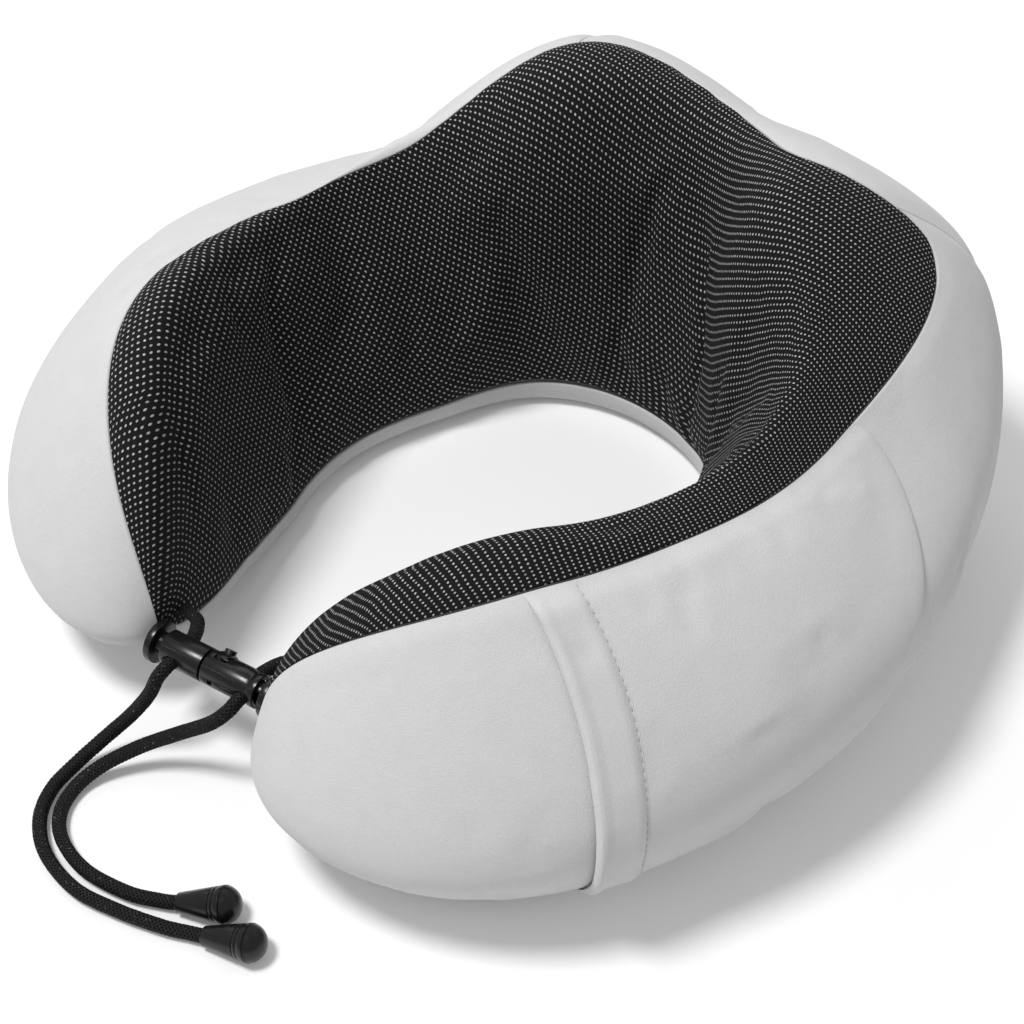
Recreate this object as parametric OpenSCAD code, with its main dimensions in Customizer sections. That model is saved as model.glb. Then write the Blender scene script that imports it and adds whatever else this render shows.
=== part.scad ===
// U-shaped memory foam neck pillow: foam core, sewn cover with a knitted neck panel and a phone
// pocket, an underside zip, and two sprung cord locks that snap together between the arm tips.
// Angles run round the neck from the back (0) to the arm tips. Five stations describe the ring:
// back, hump, side, arm and nose, always in that order.

/* [Ring stations] */
// Angles of the five stations
station = [0, 30, 62, 100, 140]; // [0:1:160]
// Radius of the neck opening at the lower inner edge
inner_r = [74, 71, 59, 58, 61]; // [40:1:90]
// Radius halfway up the neck face
face_r = [80, 72, 66, 68, 71]; // [45:1:110]
// Radius of the crest
crest_r = [95, 83, 86, 77, 80]; // [60:1:120]
// Height of the crest
crest_h = [116, 122, 95, 86, 98]; // [60:1:150]
// Radius of the seam that ends the knitted panel
seam_r = [134, 137, 102, 92, 101]; // [80:1:150]
// Height of that seam
seam_h = [82, 100, 82, 90, 97]; // [50:1:120]
// Radius of the widest bulge
bulge_r = [135, 153, 138, 135, 142]; // [110:1:170]
// Height of the widest bulge
bulge_h = [34, 63, 57, 58, 46]; // [25:1:80]
// Radius of the lower outer edge
base_r = [126, 130, 115, 112, 123]; // [100:1:145]

/* [Arm ends] */
// Angle at which the arms begin to round off
nose_start = 120; // [110:1:135]
// Half angle of the gap between the tips of the arms
tip_gap = 13; // [9:0.5:18]
// Radius of the tip
tip_r = 104; // [90:1:115]
// Height of the tip
tip_h = 30; // [20:1:45]
// Fullness of the rounding, where 2 is an ellipse
nose_power = 1.8; // [1.5:0.1:2.6]

/* [Cover] */
// Distance of the neck opening's centre behind the middle of the pillow
ring_y = -11; // [-20:1:5]
// Thickness of the cover fabric with its backing
cover_t = 1.5; // [1:0.1:3]
// Space left between neighbouring layers
layer_gap = 0.3; // [0.2:0.05:0.6]
// Height of the plain band under the knitted panel
band_h = 11; // [6:1:20]
// Width of the rounded lower inner corner
corner_w = 8; // [5:1:14]
// Half angle of the separate back panel
back_half_angle = 30; // [20:5:35]

/* [Knit seam] */
// Angles along the seam that ends the knitted panel, from the left arm over the back to the right
seam_angle = [-130, -97, -81, -63, -45, -27, -14, -4, 8, 18, 27, 34, 48]; // [-135:1:60]
// Place of that seam across the section at each angle, where 4 is the crest and 5 the outer point
seam_at = [5, 4.75, 4.26, 4, 4.24, 4.45, 4.39, 4.26, 4.16, 4.21, 4.52, 4.89, 5]; // [3.8:0.01:5]

/* [Phone pocket] */
// Angle of the pocket mouth at the arm's widest line
pocket_mouth_angle = 121; // [110:1:122]
// Angle of the pocket's rear seam at the same line
pocket_rear_angle = 68; // [60:1:80]
// Space between the pocket and the cover, left by its loose fit
pocket_gap = 0.6; // [0.6:0.1:2]
// Width of the hem along the mouth
hem_w = 14; // [8:1:20]
// Thickness of one pocket layer
pocket_t = 1; // [0.6:0.1:1.5]
// Width of the elastic in the hem
elastic_w = 8; // [4:1:10]
// Thickness of the elastic
elastic_t = 0.4; // [0.3:0.1:0.8]

/* [Zip] */
// Radius of the zip's line round the neck opening's centre
zip_r = 100; // [96:1:103]
// Half angle of the row of coils
zip_half_angle = 46; // [35:1:48]
// Half angle of the recess for the zip
recess_half_angle = 55; // [50:1:58]
// Half width of the recess
recess_half_w = 6.5; // [5.5:0.5:8]
// Height of the tapes above the resting surface
tape_z = 5.5; // [5.3:0.1:7]
// Thickness of a tape
tape_t = 0.6; // [0.4:0.1:1]
// Width of one row of coils
coil_w = 1.8; // [1.4:0.1:2.2]
// Thickness of the coils
coil_t = 1.2; // [1:0.1:1.4]
// Length of the slider
slider_l = 9; // [7:0.5:11]
// Length of the pull tab
pull_l = 17; // [12:1:20]
// Width of the pull tab
pull_w = 6; // [4:0.5:7]

/* [Cords] */
// Diameter of the braided cord
cord_d = 4.2; // [3:0.1:5]
// Diameter of the stop knot inside each tip
knot_d = 6; // [5:0.5:6.5]
// Length of the conical cord end
bell_l = 13.5; // [10:0.5:18]
// Largest diameter of the cord end
bell_d = 10.6; // [9:0.1:13]
// Diameter of the cord end at its mouth
bell_mouth_d = 5.4; // [5:0.1:7]
// Length of the domed plug beyond the cord end
plug_l = 4.6; // [3:0.1:5.2]

/* [Cord lock] */
// Sideways place of the joint between the two lock halves
lock_x = -3; // [-5:0.5:0]
// Distance of the lock behind the line through the arm tips
lock_behind = 1.8; // [0:0.1:3]
// Turn of the lock about the vertical
lock_yaw = 15; // [0:1:20]
// Roll of the lock about its own length
lock_roll = 52; // [30:1:70]
// Turn of the cord holes away from the release button
cord_turn = 38; // [30:1:60]
// Diameter of the barrels
barrel_d = 10; // [9.6:0.1:12]
// Length of the left barrel
left_l = 13.2; // [13:0.1:16]
// Length of the right barrel
right_l = 17.6; // [17.4:0.1:20]
// Width of the groove between the barrels
groove_w = 0.8; // [0.4:0.1:1.6]
// Diameter of the plungers
plunger_d = 7.4; // [7.2:0.1:7.8]
// Diameter of the plungers' press flanges
flange_d = 12.4; // [10:0.1:12.6]
// Thickness of the press flanges
flange_t = 2; // [1.4:0.1:2.4]
// Press travel of a plunger
plunger_travel = 2.4; // [1.5:0.1:2.4]
// Distance of the cord hole from the barrel's outer end
hole_in = 3.8; // [3.6:0.1:4.2]
// Diameter of the snap stud
stud_d = 6; // [5.8:0.1:6]
// Length of the snap stud
stud_l = 5.8; // [5.6:0.1:6]
// Press travel of the release button
release_travel = 0.9; // [0.7:0.05:0.95]
// Running clearance of the plungers on the radius
running_gap = 0.1; // [0.05:0.01:0.1]

/* [Hidden] */
$fn = 64;

nose_tip = 180 - tip_gap;
tip_x = tip_r * sin(tip_gap);
tip_y = ring_y - tip_r * cos(tip_gap);
lock_pos = [lock_x, tip_y + lock_behind, tip_h];

velour = "gainsboro";
knit = [0.13, 0.13, 0.14];
plastic = [0.09, 0.09, 0.1];
nylon = [0.8, 0.8, 0.8];

// ---- the pillow's outside as one formula: surface(angle, v, depth)
// v counts the named points of a section: 0 under the base, 1 inner base edge, 2 lower edge of the
// knitted panel, 3 neck face, 4 crest, 5 outer seam, 6 bulge, 7 lower side, 8 outer base edge.
V_INNER_EDGE = 1;
V_BAND = 2;
V_NECK_SIDE = 11 / 3;
V_SEAM = 5;
V_BASE_EDGE = 8;
V_INNER_EDGE_AGAIN = 10;
LOW_SIDE_IN = 0.22;
LOW_SIDE_UP = 0.38;
SECTION_POINTS = 9;
GATHER_FROM = 0.35;

function slope(list, i) =
    i == 0 ? 0
    : i == len(list) - 1 ? (list[i] - list[i - 1]) / (station[i] - station[i - 1])
    : (list[i + 1] - list[i - 1]) / (station[i + 1] - station[i - 1]);

function span_of(a) = a < station[1] ? 0 : a < station[2] ? 1 : a < station[3] ? 2 : 3;

// value of a station list at an angle, smooth from station to station and straight past the last
function around(list, angle) =
    let (a = abs(angle), i = span_of(a), d = station[i + 1] - station[i], t = (a - station[i]) / d)
    t > 1 ? list[i + 1] + (t - 1) * d * slope(list, i + 1)
    : (2 * t ^ 3 - 3 * t ^ 2 + 1) * list[i] + (t ^ 3 - 2 * t ^ 2 + t) * d * slope(list, i)
      + (3 * t ^ 2 - 2 * t ^ 3) * list[i + 1] + (t ^ 3 - t ^ 2) * d * slope(list, i + 1);

// the nine named points of a section as [radius, height]
function section(a) =
    let (ri = around(inner_r, a), rb = around(base_r, a), h = around(crest_h, a),
         rw = around(bulge_r, a), zw = around(bulge_h, a))
    [[(ri + rb) / 2, 0], [ri + corner_w, 0], [ri, band_h], [around(face_r, a), h / 2],
     [around(crest_r, a), h], [around(seam_r, a), around(seam_h, a)], [rw, zw],
     [rw - LOW_SIDE_IN * (rw - rb), LOW_SIDE_UP * zw], [rb, 0]];

function wrap(i) = (i + SECTION_POINTS) % SECTION_POINTS;

// control points of a closed cubic spline that passes through the section's points
function settle(points, controls, times) =
    times == 0 ? controls
    : settle(points, [for (i = [0:SECTION_POINTS - 1]) controls[i] + points[i]
        - (controls[wrap(i - 1)] + 4 * controls[i] + controls[wrap(i + 1)]) / 6], times - 1);
function section_controls(a) = let (p = section(a)) settle(p, p, 3);

function spline(c, v) =
    let (i = floor(v), f = v - i)
    ((1 - f) ^ 3 * c[wrap(i - 1)] + (3 * f ^ 3 - 6 * f ^ 2 + 4) * c[wrap(i)]
     + (3 * f ^ 2 - 3 * f ^ 3 + 3 * f + 1) * c[wrap(i + 1)] + f ^ 3 * c[wrap(i + 2)]) / 6;
function spline_slope(c, v) =
    let (i = floor(v), f = v - i)
    (-(1 - f) ^ 2 * c[wrap(i - 1)] + (3 * f ^ 2 - 4 * f) * c[wrap(i)]
     + (1 + 2 * f - 3 * f ^ 2) * c[wrap(i + 1)] + f ^ 2 * c[wrap(i + 2)]) / 2;

// how far a section has shrunk towards the tip
function nose(angle) =
    let (a = abs(angle))
    a <= nose_start ? 1
    : (1 - ((a - nose_start) / (nose_tip - nose_start)) ^ nose_power) ^ (1 / nose_power);

// a point of the surface, moved inwards by depth and kept at or above floor_z; the layers thin out
// where they gather at the very tip
function surface_point(a, c, v, depth, floor_z) =
    let (k = nose(a), p = spline(c, v), s = spline_slope(c, v), n = [s[1], -s[0]] / norm(s),
         q = [tip_r, tip_h] + k * (p - [tip_r, tip_h]) + depth * min(1, k / GATHER_FROM) * n)
    [q[0] * sin(a), ring_y + q[0] * cos(a), max(q[1], floor_z)];

// ---- meshes from rows of points
function quad(a, b, c, d) = [[a, b, c], [a, c, d]];
// the same four corners split the other way, for a sheet's inner side
function quad_back(a, b, c, d) = [[b, c, d], [b, d, a]];
function flatten(list) = [for (part = list) each part];

// closed ring of points per row, capped at both ends
module loft(rows) {
    n = len(rows);
    m = len(rows[0]);
    sides = flatten([for (i = [0:n - 2]) for (j = [0:m - 1])
        quad(i * m + j, i * m + (j + 1) % m, (i + 1) * m + (j + 1) % m, (i + 1) * m + j)]);
    start = [[for (j = [0:m - 1]) m - 1 - j]];
    finish = [[for (j = [0:m - 1]) (n - 1) * m + j]];
    polyhedron(flatten(rows), concat(sides, start, finish), convexity = 10);
}

// thick sheet between an outer and an inner grid of points
module sheet(outer, inner) {
    n = len(outer);
    m = len(outer[0]);
    rows = [for (i = [0:n - 1]) concat(outer[i], [for (j = [m - 1:-1:0]) inner[i][j]])];
    loft_strip(rows, m);
}

// like loft, but each row is a long thin loop whose ends are filled across
module loft_strip(rows, m) {
    n = len(rows);
    w = 2 * m;
    outside = flatten([for (i = [0:n - 2]) for (j = [0:m - 1])
        quad(i * w + j, i * w + j + 1, (i + 1) * w + j + 1, (i + 1) * w + j)]);
    inside = flatten([for (i = [0:n - 2]) for (j = [m:w - 1])
        quad_back(i * w + j, i * w + (j + 1) % w, (i + 1) * w + (j + 1) % w, (i + 1) * w + j)]);
    start = flatten([for (j = [0:m - 2]) quad(w - 1 - j, w - 2 - j, j + 1, j)]);
    last = (n - 1) * w;
    finish = flatten([for (j = [0:m - 2])
        quad(last + j, last + j + 1, last + w - 2 - j, last + w - 1 - j)]);
    polyhedron(flatten(rows), concat(outside, inside, start, finish), convexity = 10);
}

// values from one to another in equal steps no wider than step
function steps(from, to, step) =
    let (n = ceil(abs(to - from) / step)) [for (i = [0:n]) from + (to - from) * i / n];
// both ends and every whole multiple of step well between them, so layers share their rows
function on_grid(from, to, step) =
    concat([from], [for (i = [ceil(from / step + 0.2):floor(to / step - 0.2)]) i * step], [to]);

RING_STEP = 5;
V_STEP = 1 / 3;
SKIN_FLOOR = 0.4;
COVER_END = nose_tip - 0.8;
FOAM_END = nose_tip - 5;
TRIM = 0.03;
foam_depth = cover_t + layer_gap;

// angles that follow the ring closely and gather near the tips
TIP_ROWS = [for (d = [12, 9, 7, 5.5, 4, 2.8, 1.8]) nose_tip - d];
function tip_steps(from, to) =
    concat(on_grid(from, 150, RING_STEP), [for (a = TIP_ROWS) if (a < to - 0.3) a], [to]);
function mirrored(list) =
    concat([for (i = [len(list) - 1:-1:1]) -list[i]], list);

// place of the knit's outer seam at an angle, smooth through the listed ones
SEAM_ENDS = len(seam_angle) - 1;
function seam_slope(i) = i == 0 || i == SEAM_ENDS ? 0
    : (seam_at[i + 1] - seam_at[i - 1]) / (seam_angle[i + 1] - seam_angle[i - 1]);
function seam_v(a, i = 0) =
    a <= seam_angle[0] ? seam_at[0]
    : a >= seam_angle[SEAM_ENDS] ? seam_at[SEAM_ENDS]
    : a > seam_angle[i + 1] ? seam_v(a, i + 1)
    : let (d = seam_angle[i + 1] - seam_angle[i], t = (a - seam_angle[i]) / d)
      (2 * t ^ 3 - 3 * t ^ 2 + 1) * seam_at[i] + (t ^ 3 - 2 * t ^ 2 + t) * d * seam_slope(i)
      + (3 * t ^ 2 - 2 * t ^ 3) * seam_at[i + 1] + (t ^ 3 - t ^ 2) * d * seam_slope(i + 1);

// everything on the neck's side of the knit's outer seam, moved by a trim; its columns are the
// panels' own up to the seam, where the rest crowd together
SEAM_TRIM = 0.04;
SIDE_OUT = -1.5;
SIDE_IN = 3;
SIDE_FIRST = 5;
SIDE_LAST = 16;
CROWD = 0.012;
module neck_side(trim) {
    angles = mirrored(concat(tip_steps(0, COVER_END), [COVER_END + 0.3]));
    controls = [for (a = angles) section_controls(a)];
    vs = [for (a = angles) let (end = seam_v(a) + trim)
        [for (j = [SIDE_FIRST:SIDE_LAST]) min(j * V_STEP, end - CROWD * (SIDE_LAST - j))]];
    rows = [0:len(angles) - 1];
    sheet([for (i = rows) [for (v = vs[i]) surface_point(angles[i], controls[i], v, SIDE_OUT, -9)]],
        [for (i = rows) [for (v = vs[i]) surface_point(angles[i], controls[i], v, SIDE_IN, -9)]]);
}

// cover panel between two angles lists and two section places
module panel(angles, v_from, v_to, outer_depth = 0, inner_depth = cover_t, floor_z = SKIN_FLOOR) {
    vs = on_grid(v_from, v_to, V_STEP);
    controls = [for (a = angles) section_controls(a)];
    outer = [for (i = [0:len(angles) - 1])
        [for (v = vs) surface_point(angles[i], controls[i], v, outer_depth, floor_z)]];
    inner = [for (i = [0:len(angles) - 1])
        [for (v = vs) surface_point(angles[i], controls[i], v, inner_depth, floor_z)]];
    sheet(outer, inner);
}

module foam_core() {
    color([0.93, 0.9, 0.8])
    difference() {
        loft([for (a = mirrored(tip_steps(0, FOAM_END))) let (c = section_controls(a))
            [for (j = [0:SECTION_POINTS * 3 - 1])
                surface_point(a, c, j / 3, foam_depth, foam_depth)]]);
        zip_recess();
    }
}

module neck_panel() {
    color(knit)
    difference() {
        intersection() {
            panel(mirrored(tip_steps(0, COVER_END)), V_BAND + TRIM, V_SEAM + 0.2);
            neck_side(-SEAM_TRIM);
        }
        cord_notches();
    }
}

module inner_band() {
    color(velour)
    panel(mirrored(tip_steps(0, COVER_END)), V_INNER_EDGE + TRIM, V_BAND - TRIM);
}

module outer_panel(side) {
    angles = tip_steps(back_half_angle + TRIM * 10, COVER_END);
    ordered = side > 0 ? angles : [for (i = [len(angles) - 1:-1:0]) -angles[i]];
    color(velour)
    difference() {
        panel(ordered, V_NECK_SIDE, V_BASE_EDGE - TRIM);
        neck_side(SEAM_TRIM);
    }
}
module outer_panel_left() outer_panel(-1);
module outer_panel_right() outer_panel(1);

module back_panel() {
    color(velour)
    difference() {
        panel(steps(-back_half_angle, back_half_angle, RING_STEP), V_NECK_SIDE, V_BASE_EDGE - TRIM);
        neck_side(SEAM_TRIM);
    }
}

// ---- underside
BASE_EDGE_IN = 1.9;

function ring_xy(r, a) = [r * sin(a), ring_y + r * cos(a)];

module base_outline() {
    angles = steps(-nose_start, nose_start, RING_STEP);
    polygon(concat(
        [for (a = angles) ring_xy(around(base_r, a) - BASE_EDGE_IN, a)],
        [for (i = [len(angles) - 1:-1:0])
            ring_xy(around(inner_r, angles[i]) + corner_w + BASE_EDGE_IN, angles[i])]));
}

// sector of a flat ring about the neck opening, centred on the back
module ring_sector(r_from, r_to, z_from, z_to, half_angle) {
    translate([0, ring_y, 0])
    rotate([0, 0, 90 - half_angle])
    rotate_extrude(angle = 2 * half_angle, $fn = 180)
    translate([r_from, z_from])
    square([r_to - r_from, z_to - z_from]);
}

FOLD_T = 1;
RECESS_TOP_GAP = 0.6;
TAPE_SPLIT = 0.9;
SLIDER_GAP = 0.3;
SLIDER_PLATE_T = 0.9;
tape_top = tape_z + tape_t;
slider_top = tape_top + SLIDER_GAP + SLIDER_PLATE_T;

module zip_recess() {
    ring_sector(zip_r - recess_half_w - FOLD_T - layer_gap, zip_r + recess_half_w + FOLD_T + layer_gap,
        -1, slider_top + RECESS_TOP_GAP, recess_half_angle + 1);
}

module base_panel() {
    color(velour) {
        difference() {
            linear_extrude(cover_t) base_outline();
            ring_sector(zip_r - recess_half_w, zip_r + recess_half_w, -1, cover_t + 1,
                recess_half_angle);
        }
        base_fold(zip_r - recess_half_w - FOLD_T, zip_r - recess_half_w);
        base_fold(zip_r + recess_half_w, zip_r + recess_half_w + FOLD_T);
        base_toe(1);
        base_toe(-1);
    }
}

// the base fabric turned up beside the zip, which carries the tapes
module base_fold(r_from, r_to) {
    ring_sector(r_from, r_to, cover_t, tape_z, recess_half_angle);
}

// the underside of an arm's rounded end, which lifts off the surface
module base_toe(side) {
    angles = tip_steps(nose_start - 0.5, COVER_END);
    ordered = side > 0 ? angles : [for (i = [len(angles) - 1:-1:0]) -angles[i]];
    panel(ordered, V_BASE_EDGE + TRIM, V_INNER_EDGE_AGAIN - TRIM, floor_z = 0);
}

// ---- phone pocket on the right arm, in two layers over the outer panel
POCKET_TOP = V_SEAM + 0.06;
POCKET_FOOT = 7.6;
MOUTH_LEAN = 5;
REAR_SWING = 30;
REAR_TURN = 2.6;
REAR_MIDDLE = 5.98;
POCKET_V_STEP = 0.2;
POCKET_STEP = 6;

function pocket_mouth(v) = pocket_mouth_angle + MOUTH_LEAN * max(0, 5.8 - v) ^ 2 / 0.64
    + max(0, v - 6) * 0.7;
function pocket_rear(v) =
    pocket_rear_angle + REAR_SWING * (1 / (1 + exp(-REAR_TURN * (v - REAR_MIDDLE))) - 0.375);

// layer of the pocket between two shares of a width along the arm, measured from the mouth
module pocket_layer(from_mm, to_mm, depth_out, depth_in) {
    vs = steps(POCKET_TOP, POCKET_FOOT, POCKET_V_STEP);
    count = to_mm == undef ? 9 : 3;
    function angle_at(v, t) =
        let (deg_per_mm = 180 / PI / around(bulge_r, pocket_mouth_angle),
             near = pocket_mouth(v) - from_mm * deg_per_mm,
             far = to_mm == undef ? pocket_rear(v) : pocket_mouth(v) - to_mm * deg_per_mm)
        far + (near - far) * t;
    function grid(depth) = [for (i = [0:count]) [for (v = vs)
        let (a = angle_at(v, i / count)) surface_point(a, section_controls(a), v, depth, SKIN_FLOOR)]];
    sheet(grid(-depth_out), grid(-depth_in));
}

pocket_under = pocket_gap;
pocket_over = pocket_under + pocket_t;
elastic_under = pocket_over + 0.15;
hem_under = elastic_under + elastic_t + 0.15;

module pocket_panel() color(velour) pocket_layer(0, undef, pocket_over, pocket_under);
module pocket_hem() color(velour) pocket_layer(0, hem_w, hem_under + pocket_t, hem_under);
module pocket_elastic() {
    margin = (hem_w - elastic_w) / 2;
    color("white") pocket_layer(margin, margin + elastic_w, elastic_under + elastic_t, elastic_under);
}

// ---- zip
coil_edge = TAPE_SPLIT + coil_w;

module zip_tape(from, to) {
    color(nylon) ring_sector(from, to, tape_z, tape_top, recess_half_angle - 1);
}
module zip_tape_inner() zip_tape(zip_r - recess_half_w - FOLD_T, zip_r - TAPE_SPLIT);
module zip_tape_outer() zip_tape(zip_r + TAPE_SPLIT, zip_r + recess_half_w + FOLD_T);

module zip_coil(from, to) {
    color(nylon) ring_sector(from, to, tape_z - coil_t, tape_z, zip_half_angle);
}
module zip_coil_inner() zip_coil(zip_r - coil_edge, zip_r - TAPE_SPLIT);
module zip_coil_outer() zip_coil(zip_r + TAPE_SPLIT, zip_r + coil_edge);

// local frame on the zip's line: x along it, y outwards
module at_zip(angle) {
    translate([0, ring_y, 0]) rotate([0, 0, -angle]) translate([0, zip_r, 0]) children();
}

STOP_L = 2;
STOP_ANGLE_GAP = 0.4;
stop_angle = zip_half_angle + STOP_ANGLE_GAP + STOP_L / 2 / zip_r * 180 / PI;
slider_angle = zip_half_angle - STOP_ANGLE_GAP - slider_l / 2 / zip_r * 180 / PI;

module zip_stops() {
    color("silver")
    for (a = [-stop_angle, stop_angle])
        at_zip(a)
        translate([-STOP_L / 2, -coil_edge, tape_z - coil_t])
        cube([STOP_L, 2 * coil_edge, coil_t]);
}

CHEEK_L = 2.4;
CHEEK_T = 0.7;
EYE_W = 2.4;
PIN_D = 1;
PIN_GAP = 0.075;
EYE_D = 2.4;
FLANGE_T = 0.8;
POST_W = 1.2;
POST_L = 2;
plate_z = tape_z - coil_t - SLIDER_GAP - SLIDER_PLATE_T;
pin_z = plate_z - EYE_D / 2 - 0.15;
cheek_y = EYE_W / 2 + SLIDER_GAP;
flange_y = coil_edge + SLIDER_GAP;

module zip_slider() {
    half_w = flange_y + FLANGE_T;
    color("silver")
    at_zip(slider_angle) {
        translate([-slider_l / 2, -half_w, plate_z])
        cube([slider_l, 2 * half_w, SLIDER_PLATE_T]);
        translate([-slider_l / 2, -half_w, tape_top + SLIDER_GAP])
        cube([slider_l, 2 * half_w, SLIDER_PLATE_T]);
        for (y = [-half_w, flange_y])
            translate([-slider_l / 2, y, plate_z])
            cube([slider_l, FLANGE_T, tape_z - SLIDER_GAP - plate_z]);
        translate([slider_l / 2 - POST_L, -POST_W / 2, plate_z])
        cube([POST_L, POST_W, slider_top - plate_z]);
        for (y = [-cheek_y - CHEEK_T, cheek_y])
            translate([-CHEEK_L / 2, y, pin_z - PIN_D / 2 - 0.2])
            cube([CHEEK_L, CHEEK_T, plate_z - pin_z + PIN_D / 2 + 0.3]);
        translate([0, cheek_y + CHEEK_T / 2, pin_z])
        rotate([90, 0, 0])
        cylinder(d = PIN_D, h = 2 * cheek_y + CHEEK_T);
    }
}

PULL_T = 0.8;
PULL_NECK = 3;
module zip_pull() {
    color("silver")
    at_zip(slider_angle)
    difference() {
        union() {
            translate([0, EYE_W / 2, pin_z]) rotate([90, 0, 0]) cylinder(d = EYE_D, h = EYE_W);
            translate([-PULL_NECK - 1, -EYE_W / 2, pin_z - EYE_D / 2])
            cube([PULL_NECK + 1, EYE_W, PULL_T]);
            translate([0, 0, pin_z - EYE_D / 2])
            linear_extrude(PULL_T)
            pull_outline();
        }
        translate([0, EYE_W, pin_z]) rotate([90, 0, 0])
        cylinder(d = PIN_D + 2 * PIN_GAP, h = 2 * EYE_W);
    }
}
module pull_outline() {
    r = pull_w / 2;
    difference() {
        union() {
            translate([-pull_l + r, 0]) circle(d = pull_w);
            translate([-pull_l + r, -r]) square([pull_l - r - PULL_NECK, pull_w]);
        }
        translate([-pull_l + r + 0.6, 0]) circle(d = pull_w / 2);
    }
}

// ---- cords
// a bell lies on its side, which tilts its axis by the cone's half angle
bell_tilt = atan((bell_d - bell_mouth_d) / 2 / bell_l);
BELL_INSIDE = 8;
BELL_STRAIGHT = 5;
REST_Z = 2.3;
// the free ends are laid out for a lock at this place, and follow it when it moves
LAID_FOR = [-3, -110.5, 30];
function follow(p) =
    [p[0] + lock_pos[0] - LAID_FOR[0], p[1] + lock_pos[1] - LAID_FOR[1],
     REST_Z + (p[2] - REST_Z) * (lock_pos[2] - REST_Z) / (LAID_FOR[2] - REST_Z)];
function follow_all(points) = [for (p = points) follow(p)];
function bell_place(x, y, yaw) = let (p = follow([x, y, REST_Z])) [p[0], p[1], yaw];
LEFT_BELL = bell_place(48.9, -155.9, 30);
RIGHT_BELL = bell_place(35.9, -154.6, 36);

function bell_mouth(b) = [b[0], b[1], bell_mouth_d / 2 * cos(bell_tilt)];
function bell_axis(b) =
    [cos(bell_tilt) * cos(b[2]), cos(bell_tilt) * sin(b[2]), sin(bell_tilt)];
function into_bell(b) = [[b[0] - BELL_STRAIGHT * cos(b[2]), b[1] - BELL_STRAIGHT * sin(b[2]), REST_Z],
    bell_mouth(b), bell_mouth(b) + BELL_INSIDE * bell_axis(b)];

// the lock's own axes: u along it, q through the cord holes, from where the cords enter
lock_u = [cos(lock_yaw), sin(lock_yaw), 0];
hole_roll = lock_roll + cord_turn;
lock_q = [-sin(lock_yaw) * sin(hole_roll), cos(lock_yaw) * sin(hole_roll), cos(hole_roll)];
left_end = -groove_w / 2 - left_l;
right_end = groove_w / 2 + right_l;
left_hole = left_end + hole_in;
right_hole = right_end - hole_in;
HOLE_REACH = barrel_d / 2 + 0.5;
function through_lock(x) =
    [for (s = [HOLE_REACH, 0, -HOLE_REACH]) lock_pos + x * lock_u + s * lock_q];
// loop beside the lock: t turns from the hole's entry over the loop
function loop_point(x, r, t) =
    lock_pos + (x + r * (1 - cos(t)) * sign(x)) * lock_u + (HOLE_REACH + r * sin(t)) * lock_q;
LEFT_LOOP = 7.2;
RIGHT_LOOP = 7.8;

KNOT_IN = 5;
LEFT_KNOT = [-tip_x - KNOT_IN, tip_y + 0.33, tip_h];
RIGHT_KNOT = [tip_x + KNOT_IN, tip_y + 0.83, tip_h];
left_route_in = concat([LEFT_KNOT], [for (t = [120, 60]) loop_point(left_hole, LEFT_LOOP, t)]);
right_route_in = concat([RIGHT_KNOT, [tip_x + 2.6, tip_y + 8.33, tip_h]],
    [for (t = [180, 120, 60]) loop_point(right_hole, RIGHT_LOOP, t)]);
LEFT_ROUTE_OUT = follow_all([[-10.9, -122.4, 28.2], [-12.6, -125.5, 21.5], [-16.3, -130.2, 13.6],
    [-19.4, -138.3, 7.4], [-20.5, -148, 3.4], [-18.6, -157.7, 2.3], [-12.2, -165.9, 2.3],
    [-1.5, -171.1, 2.3], [13, -171.8, 2.3], [26, -167.8, 2.3], [38.3, -162.2, 2.3]]);
RIGHT_ROUTE_OUT = follow_all([[12.2, -116.5, 28.3], [8.4, -120.2, 23.3], [-0.4, -125.4, 15.5],
    [-8.6, -133.3, 9.2], [-13.9, -143.5, 4.7], [-14.5, -152.4, 2.5], [-10.4, -160.3, 2.3],
    [-2.4, -165.2, 2.3], [10, -166.3, 2.3], [23.5, -162.5, 2.3]]);

left_route = concat(left_route_in, through_lock(left_hole), LEFT_ROUTE_OUT, into_bell(LEFT_BELL));
right_route =
    concat(right_route_in, through_lock(right_hole), RIGHT_ROUTE_OUT, into_bell(RIGHT_BELL));

CORD_SIDES = 10;

// smooth curve through the route's points
function curve_point(p, i, t) =
    let (a = p[max(i - 1, 0)], b = p[i], c = p[i + 1], d = p[min(i + 2, len(p) - 1)])
    (2 * b + t * (c - a) + t ^ 2 * (2 * a - 5 * b + 4 * c - d) + t ^ 3 * (3 * b - a - 3 * c + d)) / 2;
function curve(p) = concat([for (i = [0:len(p) - 2]) for (t = [0, 0.5]) curve_point(p, i, t)],
    [p[len(p) - 1]]);
function unit(v) = v / norm(v);
function tangent(p, i) = unit(p[min(i + 1, len(p) - 1)] - p[max(i - 1, 0)]);
// normals carried along the curve without twisting
function carry(p, i, n) =
    let (t = tangent(p, i), m = unit(n - (n * t) * t))
    i == len(p) - 1 ? [m] : concat([m], carry(p, i + 1, m));

module tube(points, d, sides) {
    normals = carry(points, 0, [0, 0.3, 1]);
    loft([for (i = [0:len(points) - 1]) let (n = normals[i], b = cross(tangent(points, i), n))
        [for (j = [0:sides - 1]) let (w = -360 * j / sides)
            points[i] + d / 2 * (cos(w) * n + sin(w) * b)]]);
}

module cord_left() color(plastic) tube(curve(left_route), cord_d, CORD_SIDES);
module cord_right() color(plastic) tube(curve(right_route), cord_d, CORD_SIDES);

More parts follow.
